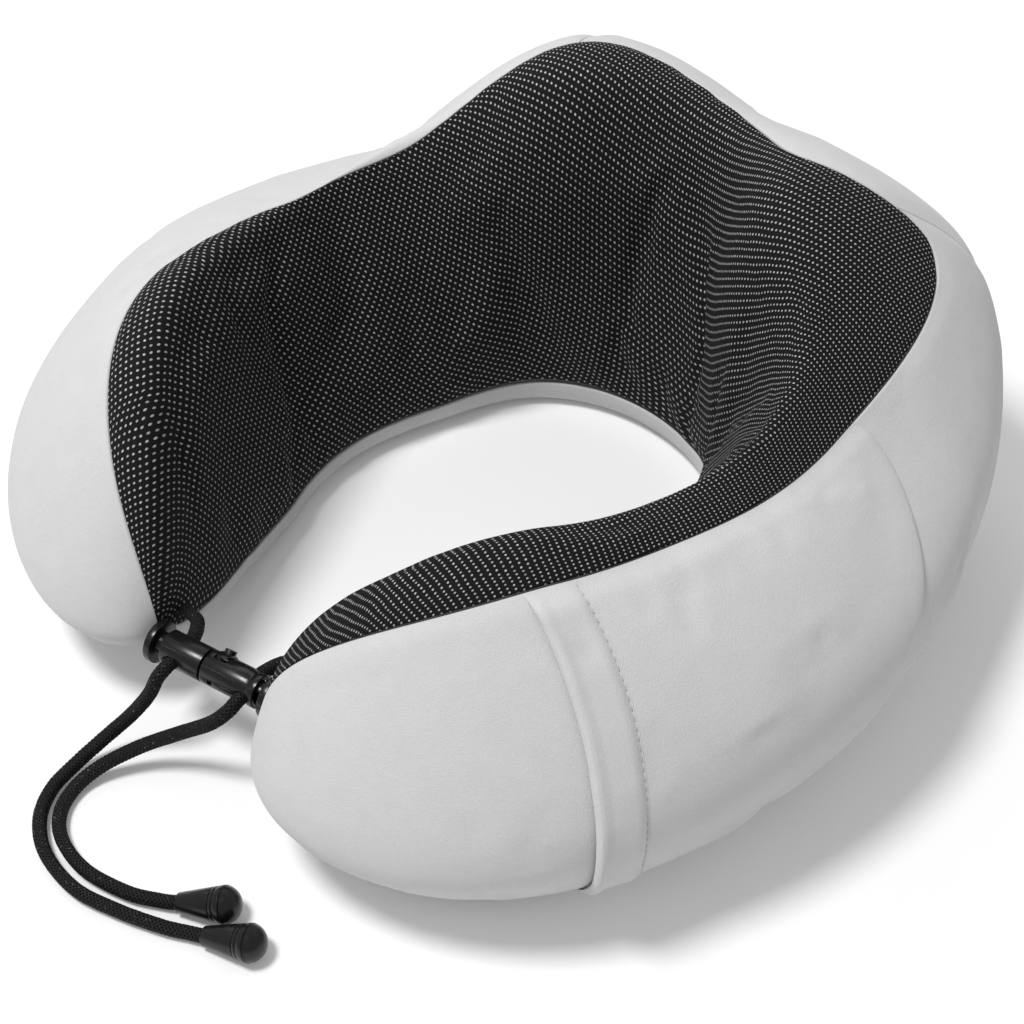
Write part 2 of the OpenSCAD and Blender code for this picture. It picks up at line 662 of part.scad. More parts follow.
// stop knots that hold the cords' ends inside the sewn tips
module cord_knot_left() color(plastic) translate(LEFT_KNOT) sphere(d = knot_d);
module cord_knot_right() color(plastic) translate(RIGHT_KNOT) sphere(d = knot_d);

// slit in each tip that lets the cord out towards the lock
NOTCH = [7.4, 13, 5.2];
module cord_notches() {
    for (side = [1, -1])
        translate([side * (tip_x + 0.3), tip_y + 10.83, tip_h])
        cube(NOTCH, center = true);
}

// ---- cord ends
BELL_WALL_GAP = 0.1;
PLUG_SKIRT_L = 2.5;
bore_d = cord_d + 0.4;
cavity_d = bell_d - 3;

module at_bell(b) {
    translate(bell_mouth(b)) rotate([0, 90 - bell_tilt, b[2]]) children();
}
module bell(b) {
    color(plastic)
    at_bell(b)
    difference() {
        cylinder(d1 = bell_mouth_d, d2 = bell_d, h = bell_l);
        translate([0, 0, -1]) cylinder(d = bore_d, h = bell_l + 2);
        translate([0, 0, BELL_INSIDE - 1]) cylinder(d = cavity_d, h = bell_l);
    }
}
module bell_left() bell(LEFT_BELL);
module bell_right() bell(RIGHT_BELL);

module bell_plug(b) {
    color(plastic)
    at_bell(b)
    translate([0, 0, bell_l]) {
        rotate_extrude()
        intersection() {
            translate([0, plug_l - bell_d / 2]) circle(d = bell_d);
            square([bell_d, plug_l]);
        }
        translate([0, 0, -PLUG_SKIRT_L])
        cylinder(d = cavity_d - 2 * BELL_WALL_GAP, h = PLUG_SKIRT_L + 0.5);
    }
}
module bell_plug_left() bell_plug(LEFT_BELL);
module bell_plug_right() bell_plug(RIGHT_BELL);

// ---- cord lock, drawn in its own frame: x along it, z out of the release button
module at_lock() {
    translate(lock_pos) rotate([0, 0, lock_yaw]) rotate([-lock_roll, 0, 0]) children();
}
// solid of revolution about x: d is its diameter, x its start and l its length
module rod(x, l, d) {
    translate([x, 0, 0]) rotate([0, 90, 0]) cylinder(d = d, h = l);
}

HOLE_GAP = 0.3;
STUD_GAP = 0.15;
LATCH_T = 1.2;
LATCH_GAP = 0.15;
STUD_RIM = 0.9;
END_WALL = 0.8;
SPRING_WIRE = 0.5;
SPRING_L = 1.8;
SPRING_TURNS = 2.5;
TRAVEL_GAP = 0.1;
NECK_SHY = 0.5;
SLOT_GAP = 0.3;

chamber_d = plunger_d + 2 * running_gap;
socket_l = stud_l - groove_w + 0.3;
stud_end = stud_l - groove_w / 2;
latch_x = stud_end - STUD_RIM - LATCH_T;
left_floor = left_end + 11.6;
right_floor = groove_w / 2 + socket_l + END_WALL;
spring_and_travel = SPRING_L + plunger_travel + TRAVEL_GAP;

module cord_hole(x) {
    translate([x, 0, 0]) rotate([-cord_turn, 0, 0])
    cylinder(d = cord_d + 2 * HOLE_GAP, h = 2 * barrel_d, center = true);
}

module lock_housing_left() {
    color(plastic)
    at_lock()
    difference() {
        union() {
            rod(left_end, left_l, barrel_d);
            rod(-groove_w / 2 - 0.5, stud_l + 0.5, stud_d);
        }
        rod(left_end - 1, left_floor - left_end + 1, chamber_d);
        cord_hole(left_hole);
        difference() {
            rod(latch_x - 0.2, LATCH_T + 0.4, stud_d + 1);
            rod(latch_x - 1, LATCH_T + 2, stud_groove_d);
        }
    }
}

COLLAR_L = 1.6;
WAIST_D = 9.2;
WAIST_AT = 3.2;
TAPER_AT = 5;
PAD_X = 2.4;
PAD_L = 3.8;
PAD_GAP = 0.15;
PAD_RISE = 0.5;
LEG_T = 0.6;
PIP_D = 3.4;
PIP_H = 1.1;
stud_groove_d = stud_d - 1.4;
socket_d = stud_d + 2 * STUD_GAP;
leg_y = stud_d / 2 + 0.2;
pad_z = stud_d / 2 + 0.05 + release_travel;
latch_bar_z = stud_groove_d / 2 + 0.05;
LATCH_BAR_T = 0.95;
slot_depth = latch_bar_z + LATCH_BAR_T + release_travel + 0.2;

// outside of the right barrel, with its waist before the collar
module waisted_barrel() {
    rotate([0, 90, 0]) rotate_extrude()
    polygon([[0, groove_w / 2], [barrel_d / 2, groove_w / 2], [barrel_d / 2, right_end - TAPER_AT],
        [WAIST_D / 2, right_end - WAIST_AT + 0.6], [barrel_d / 2, right_end - COLLAR_L],
        [barrel_d / 2, right_end], [0, right_end]]);
}

module lock_housing_right() {
    color(plastic)
    at_lock()
    difference() {
        waisted_barrel();
        rod(groove_w / 2 - 1, socket_l + 1, socket_d);
        rod(right_floor, right_l, chamber_d);
        cord_hole(right_hole);
        translate([PAD_X - PAD_GAP, -barrel_d, pad_z - release_travel])
        cube([PAD_L + 2 * PAD_GAP, 2 * barrel_d, barrel_d]);
        translate([latch_x - LATCH_GAP, -leg_y - LEG_T - LATCH_GAP, -slot_depth])
        cube([LATCH_T + 2 * LATCH_GAP, 2 * (leg_y + LEG_T + LATCH_GAP), slot_depth + barrel_d]);
    }
}

module release_button() {
    saddle_d = barrel_d + 2 * PAD_RISE;
    color(plastic)
    at_lock() {
        intersection() {
            rod(PAD_X, PAD_L, saddle_d);
            union() {
                translate([PAD_X, -saddle_d, pad_z]) cube([PAD_L, 2 * saddle_d, saddle_d]);
                for (side = [1, -1])
                    translate([latch_x, side > 0 ? leg_y : -leg_y - LEG_T,
                        -latch_bar_z - LATCH_BAR_T])
                    cube([LATCH_T, LEG_T, latch_bar_z + LATCH_BAR_T + saddle_d]);
            }
        }
        translate([latch_x, -leg_y - LEG_T, -latch_bar_z - LATCH_BAR_T])
        cube([LATCH_T, 2 * (leg_y + LEG_T), LATCH_BAR_T]);
        translate([PAD_X + PAD_L - PIP_D / 2, 0, pad_z])
        cylinder(d = PIP_D, h = saddle_d / 2 - pad_z + PIP_H);
    }
}

// plunger from its inner end x to its flange; side is 1 for the right half
module plunger(side, floor_x, hole_x, end_x) {
    inner = floor_x + side * spring_and_travel;
    slot_from = hole_x - side * (cord_d / 2 + SLOT_GAP);
    slot_to = hole_x + side * (cord_d / 2 + SLOT_GAP + plunger_travel);
    flange_from = end_x + side * (plunger_travel + 0.2);
    flange_to = flange_from + side * flange_t;
    color(plastic)
    at_lock()
    difference() {
        union() {
            rod(min(inner, end_x), abs(end_x - inner), plunger_d);
            rod(min(end_x - side, flange_from), abs(flange_from - end_x + side), plunger_d - 1);
            rod(min(flange_from, flange_to), flange_t, flange_d);
        }
        translate([min(slot_from, slot_to), 0, 0]) rotate([-cord_turn, 0, 0])
        translate([0, -cord_d / 2 - SLOT_GAP, -barrel_d])
        cube([abs(slot_to - slot_from), cord_d + 2 * SLOT_GAP, 2 * barrel_d]);
        dish(side, flange_to);
    }
}
// shallow dish in a flange's outer face
module dish(side, x) {
    radius = 12;
    translate([x + side * (radius - 1), 0, 0]) sphere(r = radius, $fn = 96);
}
module lock_plunger_left() plunger(-1, left_floor, left_hole, left_end);
module lock_plunger_right() plunger(1, right_floor, right_hole, right_end);

// return springs, drawn pressed solid against the chamber floors
module spring(side, floor_x) {
    mean_r = chamber_d / 2 - SPRING_WIRE - 0.3;
    from = floor_x + side * (SPRING_WIRE / 2 + 0.02);
    length = SPRING_L - SPRING_WIRE - 0.04;
    count = 12 * SPRING_TURNS;
    color("silver")
    at_lock()
    tube([for (i = [0:count]) let (w = 30 * i)
        [from + side * length * i / count, mean_r * cos(w), side * mean_r * sin(w)]], SPRING_WIRE, 6);
}
module lock_spring_left() spring(-1, left_floor);
module lock_spring_right() spring(1, right_floor);

foam_core();
neck_panel();
inner_band();
outer_panel_left();
outer_panel_right();
back_panel();
base_panel();
pocket_panel();
pocket_hem();
pocket_elastic();
zip_tape_inner();
zip_tape_outer();
zip_coil_inner();
zip_coil_outer();
zip_stops();
zip_slider();
zip_pull();
cord_left();
cord_right();
cord_knot_left();
cord_knot_right();
bell_left();
bell_right();
bell_plug_left();
bell_plug_right();
lock_housing_left();
lock_housing_right();
lock_plunger_left();
lock_plunger_right();
lock_spring_left();
lock_spring_right();
release_button();
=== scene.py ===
# U-shaped travel pillow: a foam core in a sewn velour cover with a knitted neck panel, a phone
# pocket and an underside zip. Two braided cords run from the arm tips through a sprung lock that
# snaps together between them. Objects are in metres, and the sizes of soft parts in millimetres.
import math
import bpy
import bmesh
import numpy as np
from mathutils import Matrix, Vector


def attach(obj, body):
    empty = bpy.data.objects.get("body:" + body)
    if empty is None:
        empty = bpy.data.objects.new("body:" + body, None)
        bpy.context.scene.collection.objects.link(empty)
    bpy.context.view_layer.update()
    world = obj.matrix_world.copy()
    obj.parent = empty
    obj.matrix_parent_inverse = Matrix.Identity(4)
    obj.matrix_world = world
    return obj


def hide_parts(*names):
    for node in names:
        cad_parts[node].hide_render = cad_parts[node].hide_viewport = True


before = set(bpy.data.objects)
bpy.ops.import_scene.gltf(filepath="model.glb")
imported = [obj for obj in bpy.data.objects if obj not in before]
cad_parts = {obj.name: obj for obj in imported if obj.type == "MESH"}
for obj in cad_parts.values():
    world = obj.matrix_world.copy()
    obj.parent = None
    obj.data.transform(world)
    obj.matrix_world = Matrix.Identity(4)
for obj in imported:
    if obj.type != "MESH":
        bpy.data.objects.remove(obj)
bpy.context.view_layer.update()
scene = bpy.context.scene

# ==== Camera
# The view looks down at the pillow from beyond the tip of its right arm, with a long lens and
# a slight roll.
AZIMUTH, ELEVATION, ROLL = math.radians(47.91), math.radians(45.83), math.radians(-1.46)
LENS, SENSOR, NEAREST = 72.84, 36, 0.01
AIM, DISTANCE = Vector((0.0234, -0.0208, 0.0458)), 0.58605
back = Vector((math.sin(AZIMUTH) * math.cos(ELEVATION),
               -math.cos(AZIMUTH) * math.cos(ELEVATION), math.sin(ELEVATION)))
level = Vector((math.cos(AZIMUTH), math.sin(AZIMUTH), 0))
upward = back.cross(level)
right = math.cos(ROLL) * level + math.sin(ROLL) * upward
above = -math.sin(ROLL) * level + math.cos(ROLL) * upward
camera_data = bpy.data.cameras.new("camera")
camera_data.lens = LENS
camera_data.sensor_width = SENSOR
camera_data.clip_start = NEAREST
camera = bpy.data.objects.new("camera", camera_data)
turned = Matrix((right, above, back)).transposed().to_4x4()
camera.matrix_world = Matrix.Translation(AIM + DISTANCE * back) @ turned
scene.collection.objects.link(camera)
scene.camera = camera

# ==== Foam core
# The inner body of the pillow: one moulded block of grey memory foam, U-shaped, with a shallow
# recess under the back for the zip. It is cast in a mould, so it has a skin with fine pores.

# Radii and heights of the pillow's section at stations round the neck, in degrees from the
# middle of the back: opening, face, crest, top seam, widest place and foot.
STATION = np.array([0.0, 30, 62, 100, 140])
RING = dict(
    inner_r=[74, 71, 59, 58, 61], face_r=[80, 72, 66, 68, 71], crest_r=[95, 83, 86, 77, 80],
    crest_h=[116, 122, 95, 86, 98], seam_r=[134, 137, 102, 92, 101],
    seam_h=[82, 100, 82, 90, 97], bulge_r=[135, 153, 138, 135, 142],
    bulge_h=[34, 63, 57, 58, 46], base_r=[126, 130, 115, 112, 123])
SECTION_POINTS, RING_Y = 9, -11.0
# How far the section's lower corners are rounded off: towards the neck in millimetres, and
# outside as shares of the way to the foot and of the height of the widest place.
HEEL_IN, HEEL_UP = 8, 11
FLANK_IN, FLANK_UP = 0.22, 0.38
# Each arm rounds off from NOSE_START degrees to NOSE_TIP, where its section has shrunk to the
# radius and height in TIP. Rows of points gather from GATHER_FROM on, one for each SHARE_STEP
# that the section shrinks, and layers of cloth grow thinner where less than THINNING is left.
TIP = np.array([104.0, 30.0])
NOSE_START, NOSE_TIP, NOSE_POWER = 120.0, 167.0, 1.8
GATHER_FROM, THINNING = 150.0, 0.35
LAST_SHARE, SHARE_STEP = 0.012, 0.022
# How far the foam lies inside the cover and above the table, and the angle where it ends. The
# recess over the zip follows the zip's radius: half its width, its end in degrees, how far its
# walls lean on each, and its depth in metres.
FOAM_DEPTH, FOAM_FLOOR, FOAM_END = 2.6, 1.8, 164.5
ZIP_R = 100
RECESS_HALF, RECESS_END, WALL_LEAN, END_LEAN, RECESS_DEEP = 10.3, 58, 1.5, 2, 0.0062


def curve_through(x, stations, values, last_slope=0.0):
    """A smooth curve through values at stations, which goes straight on past the last one."""
    slopes = np.zeros(len(values))
    slopes[1:-1] = (values[2:] - values[:-2]) / (stations[2:] - stations[:-2])
    slopes[-1] = last_slope
    held = np.clip(x, stations[0], stations[-1])
    i = np.clip(np.searchsorted(stations, held, side="right") - 1, 0, len(stations) - 2)
    d = stations[i + 1] - stations[i]
    t = (held - stations[i]) / d
    return ((2 * t**3 - 3 * t**2 + 1) * values[i] + (t**3 - 2 * t**2 + t) * d * slopes[i]
            + (3 * t**2 - 2 * t**3) * values[i + 1] + (t**3 - t**2) * d * slopes[i + 1]
            + (x - held) * last_slope)


def around(name, theta):
    """One of the ring's lists at each angle, the same on both arms."""
    values = np.array(RING[name], float)
    last_slope = (values[-1] - values[-2]) / (STATION[-1] - STATION[-2])
    return curve_through(np.abs(theta), STATION, values, last_slope)


def controls(theta):
    """Control points of each angle's closed section, 9 points of radius and height. They are
    pushed out until the smooth section passes close to the ring's own radii and heights."""
    g = {name: around(name, theta) for name in RING}
    zero = np.zeros_like(g["inner_r"])
    flank_r = g["bulge_r"] - FLANK_IN * (g["bulge_r"] - g["base_r"])
    section = np.stack([np.stack(point, -1) for point in (
        ((g["inner_r"] + g["base_r"]) / 2, zero),
        (g["inner_r"] + HEEL_IN, zero),
        (g["inner_r"], zero + HEEL_UP),
        (g["face_r"], g["crest_h"] / 2),
        (g["crest_r"], g["crest_h"]),
        (g["seam_r"], g["seam_h"]),
        (g["bulge_r"], g["bulge_h"]),
        (flank_r, FLANK_UP * g["bulge_h"]),
        (g["base_r"], zero))], 1)
    c = section.copy()
    for _ in range(3):
        c = c + section - (np.roll(c, 1, 1) + 4 * c + np.roll(c, -1, 1)) / 6
    return c


def shrink(theta):
    """How far a section has shrunk towards the arm's tip, from 1 to 0."""
    t = np.clip((np.abs(theta) - NOSE_START) / (NOSE_TIP - NOSE_START), 0, 1)
    return (1 - t**NOSE_POWER) ** (1 / NOSE_POWER)


def shrunk_at(k):
    """The angle at which a section has shrunk to k."""
    return NOSE_START + (NOSE_TIP - NOSE_START) * (1 - k**NOSE_POWER) ** (1 / NOSE_POWER)


def on_ring(theta, r, z):
    """Points in metres from angles in degrees and radii and heights in millimetres."""
    a = np.radians(theta)
    return np.stack([r * np.sin(a), RING_Y + r * np.cos(a), z], -1) / 1000


def surface(theta, v, depth=0.0, floor=0.0):
    """The pillow's outside, or depth millimetres inside it, and no lower than floor. theta is
    the angle, and v counts the section's 9 points from the middle of the underside."""
    theta, v, depth = np.broadcast_arrays(*(np.asarray(x, float) for x in (theta, v, depth)))
    rows, back_to = np.unique(theta, return_inverse=True)
    c = controls(rows)
    back_to = back_to.reshape(theta.shape)
    i = np.floor(v).astype(int)
    f = (v - i)[..., None]
    p = [c[back_to, (i + n) % SECTION_POINTS] for n in (-1, 0, 1, 2)]
    point = ((1 - f)**3 * p[0] + (3 * f**3 - 6 * f**2 + 4) * p[1]
             + (3 * f**2 - 3 * f**3 + 3 * f + 1) * p[2] + f**3 * p[3]) / 6
    slope = (-(1 - f)**2 * p[0] + (3 * f**2 - 4 * f) * p[1]
             + (1 + 2 * f - 3 * f**2) * p[2] + f**2 * p[3]) / 2
    inward = np.stack([slope[..., 1], -slope[..., 0]], -1)
    inward /= np.linalg.norm(inward, axis=-1, keepdims=True)
    k = shrink(theta)[..., None]
    q = TIP + k * (point - TIP) + depth[..., None] * np.minimum(1, k / THINNING) * inward
    return on_ring(theta, q[..., 0], np.maximum(q[..., 1], floor))


def nose_rows(theta_from, theta_to, step):
    """Angles from the arm's root to its tip, gathering where the arm rounds off."""
    gathered = shrunk_at(np.arange(shrink(GATHER_FROM), LAST_SHARE, -SHARE_STEP))
    count = int(abs(GATHER_FROM - theta_from) / step) + 1
    plain = np.linspace(theta_from, GATHER_FROM, count)[:-1]
    both = np.concatenate([plain, gathered])
    return both[both <= theta_to]


def mirrored(rows):
    """The same angles on both sides of the middle of the back."""
    return np.concatenate([-rows[:0:-1], rows])


def ring_faces(rings, sides, start=0, ends=True):
    """Faces between rings of points that are closed on themselves, and over the two ends."""
    index = start + np.arange(rings * sides).reshape(rings, sides)
    ahead = np.roll(index, -1, 1)
    faces = list(np.stack([index[:-1], index[1:], ahead[1:], ahead[:-1]], -1).reshape(-1, 4))
    return faces + [index[0], index[-1][::-1]] if ends else faces


def outward(obj):
    """Turn an inside-out mesh the right way round."""
    bm = bmesh.new()
    bm.from_mesh(obj.data)
    if bm.calc_volume(signed=True) < 0:
        bmesh.ops.reverse_faces(bm, faces=bm.faces)
        bm.to_mesh(obj.data)
    bm.free()


def mesh_object(name, points, faces, uv=None):
    """A smooth object from numpy points and faces. uv is each point's place on the cloth."""
    mesh = bpy.data.meshes.new(name)
    mesh.from_pydata(np.asarray(points, float).reshape(-1, 3).tolist(), [],
                     [list(map(int, f)) for f in faces])
    if uv is not None:
        layer = mesh.uv_layers.new(name="fabric")
        corner = np.empty(len(mesh.loops), np.int32)
        mesh.loops.foreach_get("vertex_index", corner)
        layer.data.foreach_set("uv", np.asarray(uv, np.float32).reshape(-1, 2)[corner].ravel())
    mesh.validate()
    obj = bpy.data.objects.new(name, mesh)
    scene.collection.objects.link(obj)
    outward(obj)
    mesh.shade_smooth()
    return obj


def add(tree, kind, inputs=None, **settings):
    """A new node with settings, whose inputs are values or other nodes' outputs."""
    node = tree.nodes.new(kind)
    for key, value in settings.items():
        setattr(node, key, value)
    for key, value in (inputs or {}).items():
        if isinstance(value, bpy.types.NodeSocket):
            tree.links.new(value, node.inputs[key])
        else:
            node.inputs[key].default_value = value
    return node


def new_material(name, colour, roughness, **inputs):
    """A material with one Principled shader, its tree, and the shader node."""
    material = bpy.data.materials.new(name)
    material.use_nodes = True
    material.diffuse_color = (*colour, 1)
    tree = material.node_tree
    shader = tree.nodes["Principled BSDF"]
    shader.inputs["Base Color"].default_value = (*colour, 1)
    shader.inputs["Roughness"].default_value = roughness
    for key, value in inputs.items():
        shader.inputs[key.replace("_", " ")].default_value = value
    return material, tree, shader


def wire(tree, shader, **sockets):
    """Lead nodes' outputs into the shader's sockets of these names."""
    for key, value in sockets.items():
        tree.links.new(value, shader.inputs[key.replace("_", " ")])


def object_place(tree):
    return add(tree, "ShaderNodeTexCoord").outputs["Object"]


def bump(tree, height, distance, strength=1.0, normal=None):
    inputs = {"Height": height, "Distance": distance, "Strength": strength}
    if normal is not None:
        inputs["Normal"] = normal
    return add(tree, "ShaderNodeBump", inputs).outputs["Normal"]


def finish_piece(obj, material, body, slot, *nodes):
    """Give a piece its material, the body it rides on and the nodes it replaces. Its slot is not
    used.
    """
    obj.data.materials.clear()
    obj.data.materials.append(material)
    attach(obj, body)
    if nodes:
        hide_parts(*nodes)


foam, tree, shader = new_material("foam", (0.52, 0.53, 0.55), 0.9)
pores = add(tree, "ShaderNodeTexVoronoi", {"Vector": object_place(tree), "Scale": 900.0})
wire(tree, shader, Normal=bump(tree, pores.outputs["Distance"], 0.0003, 0.6))

rows = mirrored(nose_rows(0, FOAM_END, 1.4))
columns = np.linspace(0, SECTION_POINTS, 126, endpoint=False)
points = surface(rows[:, None], columns[None, :], FOAM_DEPTH, FOAM_FLOOR)
radius = np.hypot(points[..., 0], points[..., 1] - RING_Y / 1000) * 1000
recess = (np.clip((RECESS_HALF - np.abs(radius - ZIP_R)) / WALL_LEAN, 0, 1)
          * np.clip((RECESS_END - np.abs(rows)) / END_LEAN, 0, 1)[:, None])
underneath = ((columns > 7.8) | (columns < 1.2))[None, :] & (points[..., 2] < 0.003)
points[..., 2] += np.where(underneath, recess * RECESS_DEEP, 0)
core = mesh_object("foam_core_block", points, ring_faces(len(rows), len(columns)))
finish_piece(core, foam, "pillow", "foam", "foam_core")

# ==== Cover as sewn
# The cover is pulled over the foam and stuffed full, so its cloth is held at the seams and
# lifts a little between them. The relaxed shape is found once and shared by all the panels.

# Where the seams lie, as the section's points are counted: under the neck band, above it, and
# round the underside. BACK_HALF is the angle of the two upright seams behind the neck, and the
# top seam lies at the places in SEAM_AT at the angles in SEAM_ANGLE.
BAND_SEAM, NECK_SEAM, FOOT_SEAM = 1, 2, 8
BACK_HALF = 30.0
SEAM_ANGLE = np.array([-130.0, -97, -81, -63, -45, -27, -14, -4, 8, 18, 27, 34, 48])
SEAM_AT = np.array([5, 4.75, 4.26, 4, 4.24, 4.45, 4.39, 4.26, 4.16, 4.21, 4.52, 4.89, 5])
# The angles and places at which the cloth is relaxed, over how many degrees this fades out
# towards the arm's tip, and how far the cloth may lift and sink, in metres. It starts RELAX_IN
# millimetres inside the cover's outside, and is relaxed for RELAX_FRAMES frames.
SWAY_END, SWAY_FADE = 160, 14
SWAY_THETA = np.linspace(-SWAY_END, SWAY_END, 133)
SWAY_V = np.linspace(1.0, 8.0, 85)
SWAY_CAP, SINK_CAP = 0.0024, 0.0005
RELAX_IN, RELAX_FRAMES = 0.8, 20


def seam_v(theta):
    """Where the top seam lies at each angle."""
    return curve_through(theta, SEAM_ANGLE, SEAM_AT)


def grid_faces(rows, columns, start=0, flip=False):
    """Faces of a grid of points, whose first point has the number start."""
    index = start + np.arange(rows * columns).reshape(rows, columns)
    faces = np.stack([index[:-1, :-1], index[1:, :-1], index[1:, 1:], index[:-1, 1:]], -1)
    faces = faces.reshape(-1, 4)
    return faces[:, ::-1] if flip else faces


def eased(x):
    """From 0 to 1 with a soft start and a soft end."""
    return x * x * (3 - 2 * x)


def relax():
    """How far each point of the cover moves when its cloth is relaxed between the seams."""
    start = surface(SWAY_THETA[:, None], SWAY_V[None, :], RELAX_IN)
    cloth = mesh_object("cover_relaxing", start, grid_faces(len(SWAY_THETA), len(SWAY_V)))
    flat = surface(SWAY_THETA[:, None], SWAY_V[None, :])
    held = np.abs(SWAY_V[None, :] - seam_v(SWAY_THETA)[:, None]) < 0.05
    held[:, np.abs(SWAY_V - NECK_SEAM) < 0.02] = True
    held[:, (SWAY_V < BAND_SEAM + 0.1) | (SWAY_V > FOOT_SEAM - 0.1)] = True
    held[[0, -1], :] = True
    for seam in (-BACK_HALF, BACK_HALF):
        held[np.abs(SWAY_THETA - seam).argmin(), SWAY_V > seam_v(seam)] = True
    group = cloth.vertex_groups.new(name="sewn")
    group.add([int(i) for i in np.flatnonzero(held.ravel())], 1.0, "REPLACE")
    modifier = cloth.modifiers.new("relax", "CLOTH")
    settings = modifier.settings
    settings.quality = 5
    settings.mass = 0.1
    settings.tension_stiffness = 18
    settings.compression_stiffness = 12
    settings.shear_stiffness = 6
    settings.bending_stiffness = 0.4
    settings.shrink_min = -0.012
    settings.vertex_group_mass = "sewn"
    settings.use_pressure = True
    settings.uniform_pressure_force = 4
    settings.effector_weights.gravity = 0
    modifier.collision_settings.use_collision = False
    modifier.point_cache.frame_start = 1
    modifier.point_cache.frame_end = RELAX_FRAMES
    for number in range(1, RELAX_FRAMES + 1):
        scene.frame_set(number)
    evaluated = cloth.evaluated_get(bpy.context.evaluated_depsgraph_get())
    moved = np.empty(len(evaluated.data.vertices) * 3, np.float32)
    evaluated.data.vertices.foreach_get("co", moved)
    bpy.data.objects.remove(cloth)
    scene.frame_set(1)
    sway = moved.reshape(start.shape) - flat
    size = np.linalg.norm(sway, axis=-1, keepdims=True)
    sway = sway * np.minimum(1, SWAY_CAP / np.maximum(size, 1e-9))
    outwards = surface(SWAY_THETA[:, None], SWAY_V[None, :], -1.0) - flat
    outwards /= np.maximum(np.linalg.norm(outwards, axis=-1, keepdims=True), 1e-9)
    sunk = (sway * outwards).sum(-1, keepdims=True)
    sway = sway - outwards * np.minimum(0, sunk + SINK_CAP)
    return sway * eased(np.clip((SWAY_END - np.abs(SWAY_THETA)) / SWAY_FADE, 0, 1))[:, None, None]


SWAY = relax()


def between(table, i, j):
    """A table's value at row i and column j, which may lie between its entries."""
    i, j = (np.clip(x, 0, n - 1.001) for x, n in zip((i, j), table.shape))
    a, b = i.astype(int), j.astype(int)
    f, g = (i - a)[..., None], (j - b)[..., None]
    return ((1 - f) * ((1 - g) * table[a, b] + g * table[a, b + 1])
            + f * ((1 - g) * table[a + 1, b] + g * table[a + 1, b + 1]))


def cover(theta, v, depth=0.0):
    """A point of the relaxed cover, depth millimetres under its outside."""
    theta, v, depth = np.broadcast_arrays(theta, v, depth)
    sway = between(SWAY, (theta - SWAY_THETA[0]) / (SWAY_THETA[1] - SWAY_THETA[0]),
                   (v - SWAY_V[0]) / (SWAY_V[1] - SWAY_V[0]))
    return surface(theta, v, depth) + sway


# In millimetres: the cloth's thickness with its padding and where it is thinnest, the places
# of a panel's first points from its edge, and how far the dip beside a seam reaches. FINE is
# the number of places that a row is measured by.
CLOTH, THINNEST = 1.3, 0.15
EDGE = np.array([0, 0.07, 0.2, 0.4, 0.75, 1.3])
FINE = 161
DIP_REACH = 3.5


def travelled_along(line):
    """The length run from the start of each row of points to each of its points."""
    steps = np.linalg.norm(np.diff(line, axis=-2), axis=-1)
    return np.concatenate([np.zeros_like(steps[..., :1]), np.cumsum(steps, -1)], -1)


def at_places(place, travelled, values):
    """Each row's values at some places along it, where travelled is the length to each value."""
    return np.array([np.interp(p, t, f) for p, t, f in zip(place, travelled, values)])


def spread(length, step):
    """Places along each row, from 0 to its length, close together beside both edges."""
    n = int(np.ceil((length.max() - 2 * EDGE[-1]) / step))
    tight = np.minimum(1, length / (5 * EDGE[-1]))[:, None]
    start = EDGE[None, :] * tight
    end = length[:, None] - start[:, ::-1]
    middle = start[:, -1:] + (end[:, :1] - start[:, -1:]) * np.linspace(0, 1, n + 1)[None, 1:-1]
    return np.concatenate([start, middle, end], 1)


def rolled(distance, radius):
    """How deep an edge turns under, at a distance from it."""
    d = np.clip(distance / radius, 0, 1)
    return radius * (1 - np.sqrt(1 - (1 - d) ** 2))


def sewn_depth(distance, dip=0.4, radius=0.6):
    """How deep the cloth lies at a distance from a seam."""
    return rolled(distance, radius) + dip * np.exp(-(distance / DIP_REACH) ** 2)


def shell_faces(rows, columns, start=0):
    """Faces of a sheet of cloth: its outer grid, its inner grid and the rim between them."""
    count = rows * columns
    index = start + np.arange(count).reshape(rows, columns)
    rim = np.concatenate([index[0, :-1], index[:-1, -1], index[-1, :0:-1], index[:0:-1, 0]])
    ahead = np.roll(rim, -1)
    return np.concatenate([grid_faces(rows, columns, start),
                           grid_faces(rows, columns, start + count, True),
                           np.stack([rim, ahead, ahead + count, rim + count], -1)])


def shell(name, outer, inner, uv):
    """A closed sheet between two grids of the same shape."""
    points = np.concatenate([outer.reshape(-1, 3), inner.reshape(-1, 3)])
    return mesh_object(name, points, shell_faces(*outer.shape[:2]),
                       np.concatenate([uv.reshape(-1, 2)] * 2))


